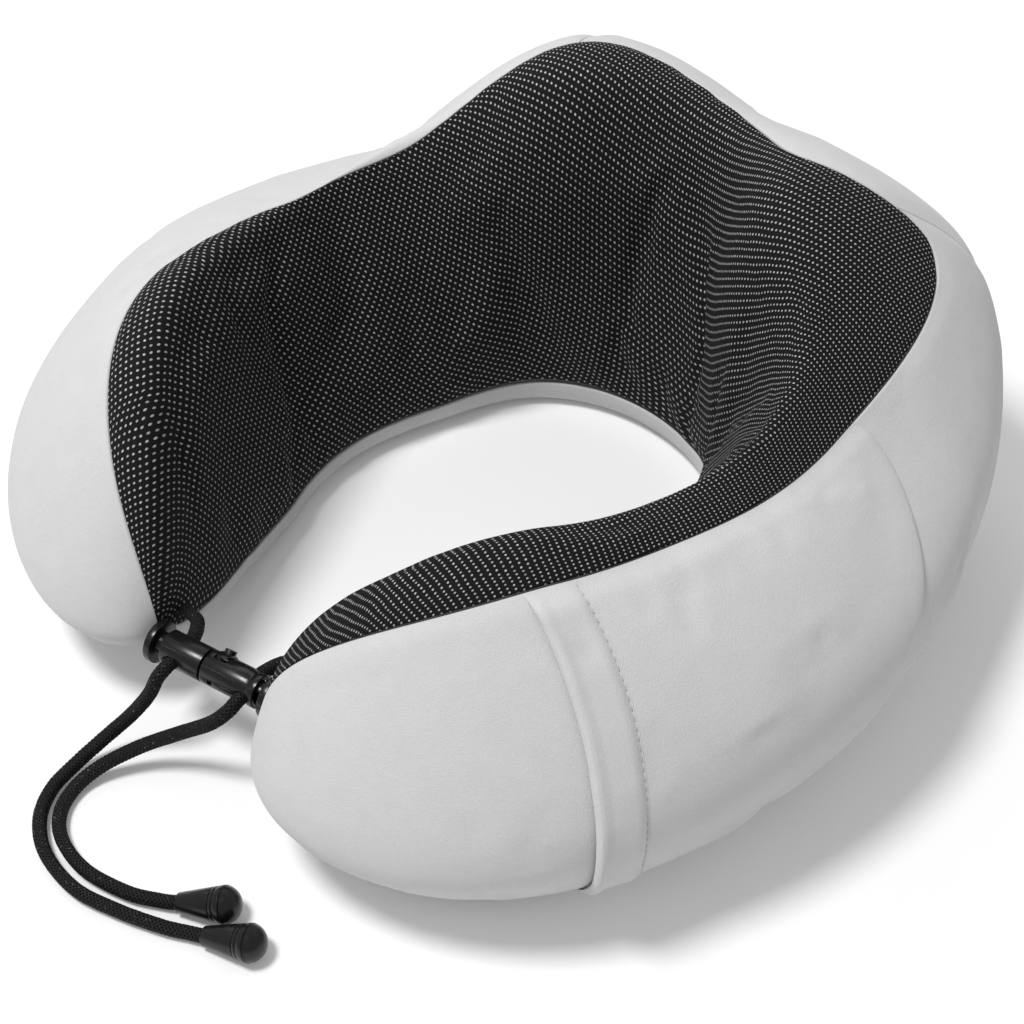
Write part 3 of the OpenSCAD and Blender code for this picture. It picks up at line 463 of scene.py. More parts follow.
def panel(name, rows, v_from, v_to, seams=(False, False), step=1.6, grain=None):
    """A cut panel of the cover between two lines round the ring. seams says whether its first
    and last rows are sewn edges, and grain gives its place on a cloth that has a pattern."""
    v_from, v_to = (np.broadcast_to(np.asarray(x, float), rows.shape)[:, None]
                    for x in (v_from, v_to))
    fine = v_from + (v_to - v_from) * np.linspace(0, 1, FINE)[None, :]
    travelled = travelled_along(surface(rows[:, None], fine) * 1000)
    place = spread(travelled[:, -1], step)
    v = at_places(place, travelled, fine)
    depth = sewn_depth(np.minimum(place, travelled[:, -1:] - place))
    along = travelled_along(surface(rows, (v_from + v_to)[:, 0] / 2) * 1000)
    for sewn, distance in zip(seams, (along, along[-1] - along)):
        if sewn:
            depth = np.maximum(depth, sewn_depth(distance)[:, None])
    depth = depth * np.minimum(1, shrink(rows) / 0.2)[:, None]
    inside = np.maximum(CLOTH, depth + THINNEST)
    theta = np.broadcast_to(rows[:, None], v.shape)
    if grain is None:
        uv = np.stack(np.broadcast_arrays(along[:, None], place - travelled[:, -1:] / 2), -1)
    else:
        uv = grain(theta, v)
    return shell(name, cover(theta, v, depth), cover(theta, v, inside), uv)


def math_node(tree, operation, a, b=None, clamp=False):
    inputs = {0: a} if b is None else {0: a, 1: b}
    return add(tree, "ShaderNodeMath", inputs, operation=operation, use_clamp=clamp).outputs[0]


def noise(tree, vector, scale, detail=2.0, roughness=0.5, output="Fac"):
    node = add(tree, "ShaderNodeTexNoise", {"Vector": vector, "Scale": scale, "Detail": detail,
                                            "Roughness": roughness})
    return node.outputs[output]


def remap(tree, value, from_low, from_high, to_low=0.0, to_high=1.0):
    node = add(tree, "ShaderNodeMapRange", {"Value": value, "From Min": from_low,
               "From Max": from_high, "To Min": to_low, "To Max": to_high})
    return node.outputs["Result"]


def blend_colour(tree, factor, first, second):
    """From the first colour at 0 to the second at 1."""
    first, second = (x if isinstance(x, bpy.types.NodeSocket) else (*x, 1) for x in (first, second))
    return add(tree, "ShaderNodeMix", {0: factor, 6: first, 7: second}, data_type="RGBA").outputs[2]


# Velour: a short brushed pile of fine polyester, slightly mottled where it lies differently.
velour, tree, shader = new_material("velour", (0.62, 0.62, 0.625), 0.92, Sheen_Weight=0.2,
                                    Sheen_Roughness=0.5, Specular_IOR_Level=0.2)
place = object_place(tree)
mottled = noise(tree, place, 120, 5, 0.62)
pile = noise(tree, place, 2200, 3, 0.65)
brushed = math_node(tree, "ADD", math_node(tree, "MULTIPLY", mottled, 0.3),
                    math_node(tree, "MULTIPLY", pile, 0.7))
tones = blend_colour(tree, remap(tree, brushed, 0.36, 0.64),
                     (0.595, 0.595, 0.6), (0.65, 0.65, 0.655))
nap = bump(tree, pile, 0.0004, 0.5)
wire(tree, shader, Base_Color=tones, Normal=bump(tree, mottled, 0.0012, 0.1, nap))

# ==== Neck panel
# Black knitted mesh with small light dots, stretched over the crest and the face towards the
# neck. It is sewn to the outer panels along the top seam and to a narrow plain band below.

# How the stitches lie: at each angle, the direction and pitch of a stitch to the next one in
# its course and to the next course, in degrees from the way along the ring and millimetres.
LIE_AT = [-160, -114, -69, -47, -25, -7, 5, 20, 32, 48, 80, 120, 150]
COURSE = ([-75, -60, -57, -40, -30, -12, 1, 20, 45, 69, 92, 98, 115],
          [1.8, 2.1, 1.9, 1.75, 1.5, 1.5, 1.75, 1.8, 1.35, 1.17, 1.0, 1.05, 1.15])
WALE = ([-165, -149, -135, -125, -107, -98, -92, -70, -36, -12, 5, 2, 20],
        [1.8, 1.75, 1.65, 1.75, 1.95, 1.95, 2.0, 2.0, 1.92, 1.86, 1.8, 1.72, 1.6])
# Half the width and height of a light stitch as shares of the pitch, and how many loops of the
# black ground there are to a pitch each way.
DOT_HALF, LOOPS = (0.235, 0.185), (3, 4)
# The lie is worked out from the neck seam to above the top seam, at LIE_ROWS places.
LIE_TOP, LIE_ROWS = 5.05, 17
# Half the gap between two panels at a seam, as the section's points are counted.
SEAM_HALF, TOP_SEAM_HALF = 0.03, 0.006


def fabric_place(tree):
    return add(tree, "ShaderNodeUVMap", uv_map="fabric").outputs["UV"]


def vector_math(tree, operation, a, b=(0, 0, 0), scale=1.0):
    node = add(tree, "ShaderNodeVectorMath", {0: a, 1: b, 3: scale}, operation=operation)
    return node.outputs["Value" if operation in ("LENGTH", "DOT_PRODUCT") else "Vector"]


knit, tree, shader = new_material("knit", (0.012, 0.012, 0.013), 0.9, Specular_IOR_Level=0.15)
uv = fabric_place(tree)
wobble = vector_math(tree, "SCALE", noise(tree, uv, 0.3, output="Color"), scale=0.16)
stitch_place = vector_math(tree, "ADD", uv, wobble)
in_stitch = vector_math(tree, "FRACTION", stitch_place)
centred = vector_math(tree, "SUBTRACT", in_stitch, (0.5, 0.5, 0))
scaled = vector_math(tree, "MULTIPLY", centred, (1 / DOT_HALF[0], 1 / DOT_HALF[1], 0))
dot = remap(tree, vector_math(tree, "LENGTH", scaled), 1.08, 0.72)
parts = add(tree, "ShaderNodeSeparateXYZ", {0: stitch_place}).outputs
waves = [math_node(tree, "SINE", math_node(tree, "MULTIPLY", parts[n], 2 * math.pi * LOOPS[n]))
         for n in (0, 1)]
mesh_wave = math_node(tree, "MULTIPLY", *waves)
ground = blend_colour(tree, remap(tree, mesh_wave, -1, 1),
                      (0.003, 0.003, 0.0035), (0.016, 0.016, 0.018))
uneven = remap(tree, noise(tree, uv, 1.1, 1.0), 0.3, 0.7, 0.55, 1.0)
light_yarn = math_node(tree, "MULTIPLY", dot, uneven)
relief = math_node(tree, "ADD", math_node(tree, "MULTIPLY", mesh_wave, 0.3), dot)
wire(tree, shader, Base_Color=blend_colour(tree, light_yarn, ground, (0.58, 0.58, 0.58)),
     Normal=bump(tree, relief, 0.00022, 0.7))


def unit(vectors):
    return vectors / (np.linalg.norm(vectors, axis=-1, keepdims=True) + 1e-9)


def knit_grain():
    """Counts of stitches over the panel that follow the lie above as evenly as they can."""
    tip = shrunk_at(np.linspace(0.62, 0.06, 8))
    angle = np.concatenate([-tip[::-1], np.linspace(-148, 148, 87), tip])
    v = np.linspace(NECK_SEAM, LIE_TOP, LIE_ROWS)
    p = surface(angle[:, None], v[None, :]) * 1000
    along, upwards = unit(np.gradient(p, axis=0)), np.gradient(p, axis=1)
    upwards = unit(upwards - along * (upwards * along).sum(-1, keepdims=True))
    steps = []
    for turned, pitch in (COURSE, WALE):
        turned = np.radians(np.interp(angle, LIE_AT, turned))[:, None, None]
        pitch = np.interp(angle, LIE_AT, pitch)[:, None, None]
        steps.append(pitch * (np.cos(turned) * along + np.sin(turned) * upwards))
    normal = np.cross(steps[0], steps[1])
    area = (normal * normal).sum(-1, keepdims=True)
    # Neighbouring points' counts should differ by goal. All of them are solved together, as
    # evenly as they can be, and the nearest neighbours count most.
    index = np.arange(len(angle) * len(v)).reshape(len(angle), len(v))
    far = np.concatenate([index[1:].ravel(), index[:, 1:].ravel()])
    near = np.concatenate([index[:-1].ravel(), index[:, :-1].ravel()])
    gaps = np.linalg.norm(p.reshape(-1, 3)[far] - p.reshape(-1, 3)[near], axis=1) + 0.3
    weight = 1 / gaps**2
    matrix = np.zeros((index.size, index.size))
    for i, j, sign in ((far, far, 1), (near, near, 1), (far, near, -1), (near, far, -1)):
        np.add.at(matrix, (i, j), sign * weight)
    matrix[0, 0] += 1
    counts = []
    for pull in (np.cross(steps[1], normal) / area, np.cross(normal, steps[0]) / area):
        goal = np.concatenate([
            ((p[1:] - p[:-1]) * (pull[1:] + pull[:-1]) / 2).sum(-1).ravel(),
            ((p[:, 1:] - p[:, :-1]) * (pull[:, 1:] + pull[:, :-1]) / 2).sum(-1).ravel()])
        pushed = np.zeros(index.size)
        np.add.at(pushed, far, weight * goal)
        np.add.at(pushed, near, -weight * goal)
        counts.append(np.linalg.solve(matrix, pushed).reshape(index.shape))
    counts = np.stack(counts, -1)

    def lookup(theta, v_at):
        return between(counts, np.interp(theta, angle, np.arange(len(angle))),
                       (v_at - v[0]) / (v[1] - v[0]))

    return lookup


ring_rows = mirrored(nose_rows(0, NOSE_TIP, 1.1))
neck = panel("neck_knit", ring_rows, NECK_SEAM + SEAM_HALF, seam_v(ring_rows) - TOP_SEAM_HALF,
             grain=knit_grain())
finish_piece(neck, knit, "pillow", "knit", "neck_panel")

# ==== Inner band
# A narrow plain velour strip under the knitted panel, round the lower edge of the neck
# opening. It carries the seam to the underside.
band = panel("inner_band_strip", ring_rows, BAND_SEAM + SEAM_HALF, NECK_SEAM - SEAM_HALF, step=1.4)
finish_piece(band, velour, "pillow", "velour", "inner_band")

# ==== Outer panels
# Left and right side panels of light grey velour, from the top seam to the underside and from
# the back panel to the arm tips. Each is cut in one piece and sewn right sides together.
NEAR_SEAM = np.array([0.04, 0.09, 0.18, 0.35, 0.6, 1.0])
right_rows = np.concatenate([BACK_HALF + NEAR_SEAM, nose_rows(BACK_HALF + 1.5, NOSE_TIP, 0.7)])
for side, side_rows, seams in (("right", right_rows, (True, False)),
                               ("left", -right_rows[::-1], (False, True))):
    outer = panel("outer_velour_" + side, side_rows, seam_v(side_rows) + TOP_SEAM_HALF,
                  FOOT_SEAM - SEAM_HALF, seams)
    finish_piece(outer, velour, "pillow", "velour", "outer_panel_" + side)

# ==== Back panel
# A separate velour panel behind the neck, cut from the same cloth and sewn between the two
# outer panels with an upright seam on each side.
back_rows = mirrored(np.concatenate([np.arange(0, BACK_HALF - 1.4, 0.7),
                                     BACK_HALF - NEAR_SEAM[::-1]]))
back_piece = panel("back_velour", back_rows, seam_v(back_rows) + TOP_SEAM_HALF,
                   FOOT_SEAM - SEAM_HALF, (True, True))
finish_piece(back_piece, velour, "pillow", "velour", "back_panel")

# ==== Underside panel
# The sewn bottom of the cover: plain velour lying flat on the table, with a long slot for the
# zip whose edges are folded up towards the zip tapes.

# The radii of the slot's edges and its end in degrees, how far the panel stays inside the
# section's inner and outer radius, and the pace and dip of its points.
SLOT_IN, SLOT_OUT, SLOT_END = ZIP_R - 6.5, ZIP_R + 6.5, 55.0
NECK_INSET, FOOT_INSET = 9.6, 1.6
UNDER_STEP, UNDER_DIP = 1.6, 0.2
# The folded edge's section: how far it lies from the zip's line, and how high.
FOLD = [(6.5, 0.7), (6.55, 0.35), (6.75, 0.1), (7.0, 0.02), (7.5, 0.02), (7.5, 1.3),
        (7.5, 3.0), (7.5, 5.4), (7.2, 5.5), (6.7, 5.5), (6.5, 5.2), (6.5, 3.0)]


def nosed(theta, r, z):
    """Points on the ring, rounded off with the arm towards its tip."""
    k = shrink(theta)
    return on_ring(theta, TIP[0] + k * (r - TIP[0]), TIP[1] + k * (z - TIP[1]))


def flat_strip(rows, r_from, r_to, rolls):
    """Under and upper grids of a flat strip between two radii, with rolled edges."""
    _, r_from, r_to = np.broadcast_arrays(rows, r_from, r_to)
    length = r_to - r_from
    place = spread(length, UNDER_STEP)
    depth = np.zeros_like(place)
    for roll, distance in zip(rolls, (place, length[:, None] - place)):
        if roll:
            depth = np.maximum(depth, sewn_depth(distance, UNDER_DIP))
    r = r_from[:, None] + place
    k = shrink(rows)[:, None]
    thinned = np.minimum(1, k / THINNING)
    theta = np.broadcast_to(rows[:, None], r.shape)
    under, upper = (nosed(theta, r, z * thinned / np.maximum(k, 0.05))
                    for z in (depth, np.maximum(CLOTH, depth + THINNEST)))
    return under, upper, np.stack([np.radians(theta) * 100, r], -1)


def swept(half_angle, steps, outline):
    """Angles, radii and heights of an outline carried along an arc round the neck opening."""
    turn = np.linspace(-half_angle, half_angle, steps)[:, None]
    r, z = (np.broadcast_to(x, (steps, len(outline))) for x in np.array(outline, float).T)
    return turn, r, z


def recalculated(obj):
    """The object with the faces of each closed part turned outwards."""
    bm = bmesh.new()
    bm.from_mesh(obj.data)
    bmesh.ops.recalc_face_normals(bm, faces=bm.faces)
    bm.to_mesh(obj.data)
    bm.free()
    outward(obj)
    return obj


rows = mirrored(np.concatenate([np.arange(0, 54.6, 1.2), [SLOT_END, SLOT_END + 0.2],
                                nose_rows(56.5, 166.6, 1.2)]))
strips = [(rows, around("inner_r", rows) + NECK_INSET, SLOT_IN, (True, False)),
          (rows, SLOT_OUT, around("base_r", rows) - FOOT_INSET, (False, True)),
          (rows[rows <= -SLOT_END], SLOT_IN, SLOT_OUT, (False, False)),
          (rows[rows >= SLOT_END], SLOT_IN, SLOT_OUT, (False, False))]
vertices, quads, coordinates, start = [], [], [], 0
for strip in strips:
    under, upper, uv = flat_strip(*strip)
    quads.append(shell_faces(*under.shape[:2], start))
    vertices += [under.reshape(-1, 3), upper.reshape(-1, 3)]
    coordinates += [uv.reshape(-1, 2)] * 2
    start += 2 * under.shape[0] * under.shape[1]
for side in (-1, 1):
    turn, r, z = swept(SLOT_END, 121, [(ZIP_R + side * far, height) for far, height in FOLD])
    wall = np.array(ring_faces(*r.shape, start, ends=False))
    quads.append(wall if side > 0 else wall[:, ::-1])
    vertices.append(on_ring(turn, r, z).reshape(-1, 3))
    coordinates.append(np.stack([np.radians(turn) * r, z], -1).reshape(-1, 2))
    start += r.size
under_piece = recalculated(mesh_object("underside_velour", np.concatenate(vertices),
                                       np.concatenate(quads), np.concatenate(coordinates)))
finish_piece(under_piece, velour, "pillow", "velour", "base_panel")

# ==== Phone pocket
# A patch of the same velour laid over the outside of the right arm, open towards the tip. Its
# rear edge is sewn down in a slanting curve, its top and bottom go into the cover's seams.

# The pocket's first and last place on the section, and the angle at which its height is
# measured. Its layers go TUCK millimetres deep into the seams, over TUCK_RUN millimetres, and
# over much less at its foot, where a millimetre counts as FOOT_SHARE.
POCKET_V, POCKET_MIDDLE = (5.008, 7.88), 100.0
TUCK, TUCK_RUN, FOOT_SHARE = 0.35, 7.0, 0.15
# The heights of the pocket's outer and inner side above the cover, in millimetres.
POCKET_OUT, POCKET_IN = 1.6, 0.3


def mouth(v):
    """The angle of the pocket's open end at each place on the section."""
    return 121 + 5 * np.maximum(0, 5.8 - v) ** 2 / 0.64 + 0.7 * np.maximum(0, v - 6)


def rear(v):
    """The angle of the pocket's sewn end, which slants from the back to the arm's middle."""
    return 57 + 30.5 / (1 + np.exp(-2.6 * (v - 5.98))) - 1.6 * np.exp(-((v - 5.3) / 0.35) ** 2)


def across(v, theta_from, theta_to):
    """Angles along lines of constant v between two edges, and the length run to each."""
    theta = theta_from[:, None] + (theta_to - theta_from)[:, None] * np.linspace(0, 1, 81)
    return theta, travelled_along(surface(theta, v[:, None]) * 1000)


def tucked(depth, from_edge):
    """A layer's depth, led down into the seams at the pocket's top and bottom ends."""
    return TUCK + (depth - TUCK) * eased(np.clip(0.06 + from_edge / TUCK_RUN, 0, 1))


fine = np.linspace(*POCKET_V, FINE)
travelled = travelled_along(surface(POCKET_MIDDLE, fine) * 1000)
place = spread(travelled[-1:], 1.5)[0]
v = np.interp(place, travelled, fine)
from_edge = np.minimum(place, (travelled[-1] - place) * FOOT_SHARE)
ends = from_edge[:, None]
theta, travelled = across(v, rear(v), mouth(v) - 0.4)
place = spread(travelled[:, -1], 1.6)
theta = at_places(place, travelled, theta)
v_grid = np.broadcast_to(v[:, None], theta.shape)
sink = sewn_depth(place, 0.5, 1.5)
uv = np.stack([place, np.broadcast_to(ends, place.shape)], -1)
pocket = shell("pocket_velour", cover(theta, v_grid, tucked(sink - POCKET_OUT, ends)),
               cover(theta, v_grid, tucked(0.2 * sink - POCKET_IN, ends)), uv)
finish_piece(pocket, velour, "pillow", "velour", "pocket_panel")

# ==== Pocket hem
# The pocket's mouth is folded back over an elastic and stitched down, so it stands up from the
# arm as a soft rounded welt.

# In millimetres: the hem's width, its height above the cover at its rear edge and over the
# rest, the run of the rise between them, and the height of its inner side. HEM_REACH is how
# many degrees behind the mouth are measured.
HEM_W, HEM_LOW, HEM_HIGH, RISE_RUN, HEM_IN, HEM_REACH = 14.0, 1.75, 2.9, 2.6, 1.65, 9.0
# The welt's height, place and half width, and the stitches' place, draw and half width.
WELT, WELT_IN, WELT_HALF = 1.0, 1.7, 1.25
STITCH_IN, STITCH_DRAW, STITCH_HALF = 0.7, 0.3, 0.5
theta, travelled = across(v, mouth(v) - HEM_REACH, mouth(v))
place = travelled[:, -1:] - spread(np.full(len(v), HEM_W), 1.3)[:, ::-1]
theta_hem = at_places(place, travelled, theta)
v_grid = np.broadcast_to(v[:, None], theta_hem.shape)
behind = travelled[:, -1:] - place
flat = HEM_LOW + (HEM_HIGH - HEM_LOW) * eased(np.clip((HEM_W - behind) / RISE_RUN, 0, 1))
welt = WELT * np.exp(-((behind - WELT_IN) / WELT_HALF) ** 2)
stitched = STITCH_DRAW * np.exp(-((HEM_W - STITCH_IN - behind) / STITCH_HALF) ** 2)
top = rolled(behind, WELT_IN) - flat - welt + stitched
below = np.maximum(-HEM_IN, top + 0.2)
uv = np.stack([place, v_grid * 40], -1)
hem = shell("pocket_hem_fold", cover(theta_hem, v_grid, tucked(top, ends)),
            cover(theta_hem, v_grid, tucked(below, ends)), uv)
finish_piece(hem, velour, "pillow", "velour", "pocket_hem")

# ==== Pocket elastic
# A woven elastic tape inside the hem draws the mouth towards the arm. It is white and ribbed
# along its length.

# In millimetres: where the tape begins and ends behind the mouth, and the heights of its two
# sides above the cover. Then its number of ribs and how high they are.
ELASTIC_FROM, ELASTIC_TO, ELASTIC_OUT, ELASTIC_IN = 3.0, 11.0, 2.1, 1.7
RIBS, RIB_HIGH = 17, 0.05


def wave(tree, vector, scale, direction, distortion=0.0):
    node = add(tree, "ShaderNodeTexWave", {"Vector": vector, "Scale": scale,
               "Distortion": distortion}, bands_direction=direction)
    return node.outputs["Fac"]


elastic, tree, shader = new_material("elastic", (0.7, 0.7, 0.69), 0.8)
wire(tree, shader, Normal=bump(tree, wave(tree, fabric_place(tree), 1.1, "X"), 0.0002, 0.6))

clear = from_edge > 1.0
width = np.linspace(ELASTIC_FROM, ELASTIC_TO, RIBS)
place = travelled[:, -1:] - width[None, ::-1]
theta_elastic = at_places(place, travelled, theta)[clear]
v_elastic = np.broadcast_to(v[clear][:, None], theta_elastic.shape)
ripple = RIB_HIGH * np.cos(np.arange(RIBS) * np.pi)[None, :]
uv = np.stack([np.broadcast_to(width[None, :], v_elastic.shape), v_elastic * 40], -1)
tape = shell("pocket_elastic_tape",
             cover(theta_elastic, v_elastic, tucked(ripple - ELASTIC_OUT, ends[clear])),
             cover(theta_elastic, v_elastic, tucked(ripple - ELASTIC_IN, ends[clear])), uv)
finish_piece(tape, elastic, "pillow", "elastic", "pocket_elastic")

# ==== Hem stitching
# One row of lockstitches holds the hem down, fourteen millimetres behind the mouth, in thread
# that matches the cloth.

# A stitch's length and thickness and the pitch of the row in metres, how far one may turn from
# its neighbours in radians, and the height of the row above the cover in millimetres.
STITCH_LENGTH, THREAD_THICK, STITCH_PITCH, STITCH_TURN = 0.0017, 0.0004, 0.0025, 0.06
STITCH_HIGH = 1.8
thread, tree, shader = new_material("thread", (0.5, 0.5, 0.5), 0.6)
twist = wave(tree, object_place(tree), 900.0, "DIAGONAL")
wire(tree, shader, Normal=bump(tree, twist, 0.0001, 0.4))


def repeat_along(name, line, up, item, spacing, jitter, seed, material):
    """Copies of item along a line, turned to it and to its surface, as one mesh."""
    mesh = bpy.data.meshes.new(name)
    mesh.from_pydata(line.tolist(), [(i, i + 1) for i in range(len(line) - 1)], [])
    facing = mesh.attributes.new("facing", "FLOAT_VECTOR", "POINT")
    facing.data.foreach_set("vector", np.asarray(up, np.float32).ravel())
    holder = bpy.data.objects.new(name + "_line", mesh)
    scene.collection.objects.link(holder)

    group = bpy.data.node_groups.new(name + "_rule", "GeometryNodeTree")
    face = group.interface
    face.new_socket("Geometry", in_out="INPUT", socket_type="NodeSocketGeometry")
    for label, kind in (("Item", "Object"), ("Spacing", "Float"), ("Jitter", "Float"),
                        ("Seed", "Int"), ("Material", "Material")):
        face.new_socket(label, in_out="INPUT", socket_type="NodeSocket" + kind)
    face.new_socket("Geometry", in_out="OUTPUT", socket_type="NodeSocketGeometry")
    given = group.nodes.new("NodeGroupInput").outputs
    result = group.nodes.new("NodeGroupOutput").inputs[0]

    def step(kind, inputs=None, output=0, **settings):
        return add(group, kind, inputs, **settings).outputs[output]

    curve = step("GeometryNodeMeshToCurve", {"Mesh": given["Geometry"]})
    places = step("GeometryNodeResampleCurve", {"Curve": curve, "Length": given["Spacing"]},
                  mode="LENGTH")
    tangent = step("GeometryNodeInputTangent")
    outwards = step("GeometryNodeInputNamedAttribute", {"Name": "facing"},
                    data_type="FLOAT_VECTOR")
    along = step("FunctionNodeAlignRotationToVector", {"Vector": tangent}, axis="X")
    turned = step("FunctionNodeAlignRotationToVector", {"Rotation": along, "Vector": outwards},
                  axis="Z", pivot_axis="X")
    chance = step("FunctionNodeRandomValue", {"Seed": given["Seed"]}, data_type="FLOAT_VECTOR")
    swing = vector_math(group, "SUBTRACT", chance, (0.5, 0.5, 0.5))
    swing = vector_math(group, "SCALE", swing, scale=given["Jitter"])
    askew = step("FunctionNodeEulerToRotation", {0: swing})
    rotation = step("FunctionNodeRotateRotation", {0: turned, 1: askew})
    piece = step("GeometryNodeObjectInfo", {"Object": given["Item"]}, "Geometry")
    copies = step("GeometryNodeInstanceOnPoints",
                  {"Points": places, "Instance": piece, "Rotation": rotation})
    real = step("GeometryNodeRealizeInstances", {0: copies})
    painted = step("GeometryNodeSetMaterial", {"Geometry": real, "Material": given["Material"]})
    group.links.new(painted, result)

    modifier = holder.modifiers.new("rule", "NODES")
    modifier.node_group = group
    values = {"Item": item, "Spacing": spacing, "Jitter": jitter, "Seed": seed,
              "Material": material}
    for socket in face.items_tree:
        if getattr(socket, "in_out", "") == "INPUT" and socket.name in values:
            modifier[socket.identifier] = values[socket.name]
    holder.update_tag()
    evaluated = holder.evaluated_get(bpy.context.evaluated_depsgraph_get())
    result_mesh = bpy.data.meshes.new_from_object(evaluated)
    made = bpy.data.objects.new(name, result_mesh)
    scene.collection.objects.link(made)
    result_mesh.shade_smooth()
    bpy.data.objects.remove(holder)
    bpy.data.objects.remove(item)
    return made


def lozenge(name, length, thickness, steps=7, sides=8):
    """A short rounded stitch lying along x."""
    s = np.linspace(-1, 1, steps)[1:-1]
    girth = (1 - np.abs(s) ** 2.6) ** 0.5
    w = np.linspace(0, 2 * np.pi, sides, endpoint=False)
    ring = np.stack([np.repeat(s[:, None], sides, 1) * length / 2,
                     girth[:, None] * np.cos(w) * thickness / 2,
                     girth[:, None] * np.sin(w) * thickness / 2], -1)
    points = np.concatenate([ring.reshape(-1, 3), [[-length / 2, 0, 0], [length / 2, 0, 0]]])
    first, last = len(points) - 2, len(points) - 1
    end = first - sides
    faces = ring_faces(len(s), sides, ends=False)
    faces += [[j, (j + 1) % sides, first] for j in range(sides)]
    faces += [[end + (j + 1) % sides, end + j, last] for j in range(sides)]
    return mesh_object(name, points, faces)


def surface_up(theta, v):
    """Outward directions on the cover."""
    return unit(surface(theta, v, -1.0) - surface(theta, v))


row_v = np.linspace(5.04, 7.7, 200)
theta, travelled = across(row_v, mouth(row_v) - HEM_REACH, mouth(row_v))
theta_row = at_places(travelled[:, -1] - HEM_W + STITCH_IN, travelled, theta)
line = cover(theta_row, row_v, tucked(-STITCH_HIGH, np.interp(row_v, v, from_edge)))
stitch = lozenge("stitch", STITCH_LENGTH, THREAD_THICK)
stitches = repeat_along("hem_stitches", line, surface_up(theta_row, row_v), stitch,
                        STITCH_PITCH, STITCH_TURN, 3, thread)
finish_piece(stitches, thread, "pillow", "velour")

# ==== Zip tapes
# Two woven polyester tapes sewn to the folded edges of the slot, curved with the back of the
# pillow. The weave shows as a fine twill.

# A tape's two edges from the zip's line, its lower and upper side, and its end in degrees.
TAPE_IN, TAPE_OUT, TAPE_LOW, TAPE_HIGH, TAPE_END = 0.9, 7.5, 5.5, 6.1, 54
zip_tape, tree, shader = new_material("zip_tape", (0.5, 0.5, 0.51), 0.8)
twill = wave(tree, fabric_place(tree), 0.55, "DIAGONAL", 0.4)
wire(tree, shader, Base_Color=blend_colour(tree, twill, (0.42, 0.42, 0.43), (0.58, 0.58, 0.59)),
     Normal=bump(tree, twill, 0.00015, 0.6))


def tape_outline(side):
    """A tape's section: ribbed below by its threads, with its upper corners taken off."""
    inner, outer = ZIP_R + side * TAPE_IN, ZIP_R + side * TAPE_OUT
    low = [(r, TAPE_LOW + 0.04 * (-1) ** n) for n, r in enumerate(np.linspace(inner, outer, 12))]
    return [(inner, TAPE_HIGH - 0.1), *low, (outer, TAPE_HIGH - 0.1),
            (outer - side * 0.1, TAPE_HIGH), (inner + side * 0.1, TAPE_HIGH)]


for side, label in ((-1, "inner"), (1, "outer")):
    turn, r, z = swept(TAPE_END, 181, tape_outline(side))
    uv = np.stack(np.broadcast_arrays(np.radians(turn) * 100, r), -1)
    strip = recalculated(mesh_object("zip_tape_woven_" + label, on_ring(turn, r, z),
                                     ring_faces(*r.shape), uv))
    finish_piece(strip, zip_tape, "pillow", "zip_tape", "zip_tape_" + label)

# ==== Zip coils
# Each tape carries a continuous nylon coil, wound and sewn along its edge. The two coils mesh
# along the zip's line.

# A coil's distance from the zip's line and its height in millimetres, and its end in degrees.
# In metres, its pitch, half a turn's size along, across and up, and the nylon's radius.
COIL_ASIDE, COIL_Z, COIL_END = 1.8, 4.9, 46
COIL_PITCH, HALF_TURN, NYLON_R = 0.0009, (0.00028, 0.00082, 0.00048), 0.00011
coil_nylon, tree, shader = new_material("coil_nylon", (0.55, 0.55, 0.56), 0.35)
wire(tree, shader, Normal=bump(tree, noise(tree, object_place(tree), 3000), 0.00005, 0.3))


def tube_points(points, radius, sides, up=(0, 0, 1)):
    """Rings of points round a line, carried along it without twisting, and their two axes."""
    tangents = np.gradient(points, axis=0)
    tangents /= np.linalg.norm(tangents, axis=1, keepdims=True)
    normal = np.array(up, float)
    frames = []
    for t in tangents:
        normal = normal - normal.dot(t) * t
        normal /= np.linalg.norm(normal)
        frames.append((normal, np.cross(t, normal)))
    n, b = (np.array(axis) for axis in zip(*frames))
    w = np.linspace(0, 2 * np.pi, sides, endpoint=False)
    rings = points[:, None] + radius * (np.cos(w)[None, :, None] * n[:, None]
                                        + np.sin(w)[None, :, None] * b[:, None])
    return rings, n, b


def tube(name, points, radius, sides, up=(0, 0, 1)):
    rings, _, _ = tube_points(points, radius, sides, up)
    return recalculated(mesh_object(name, rings, ring_faces(len(points), sides)))


arc = np.linspace(-COIL_END, COIL_END, 200)
w = np.linspace(0, 2 * np.pi, 13)
for side, label in ((-1, "inner"), (1, "outer")):
    line = on_ring(arc, ZIP_R + side * COIL_ASIDE, COIL_Z + 0 * arc)
    loop = np.stack([HALF_TURN[0] * np.sin(w), HALF_TURN[1] * np.cos(w) + side * 0.00002,
                     HALF_TURN[2] * np.sin(w)], -1)
    one_turn = tube("coil_turn_" + label, loop, NYLON_R, 5, up=(1, 0, 0))
    coil = repeat_along("zip_coil_wound_" + label, line, np.tile([0, 0, 1.0], (len(line), 1)),
                        one_turn, COIL_PITCH, 0.0, 5, coil_nylon)
    finish_piece(coil, coil_nylon, "pillow", "zip_coil", "zip_coil_" + label)

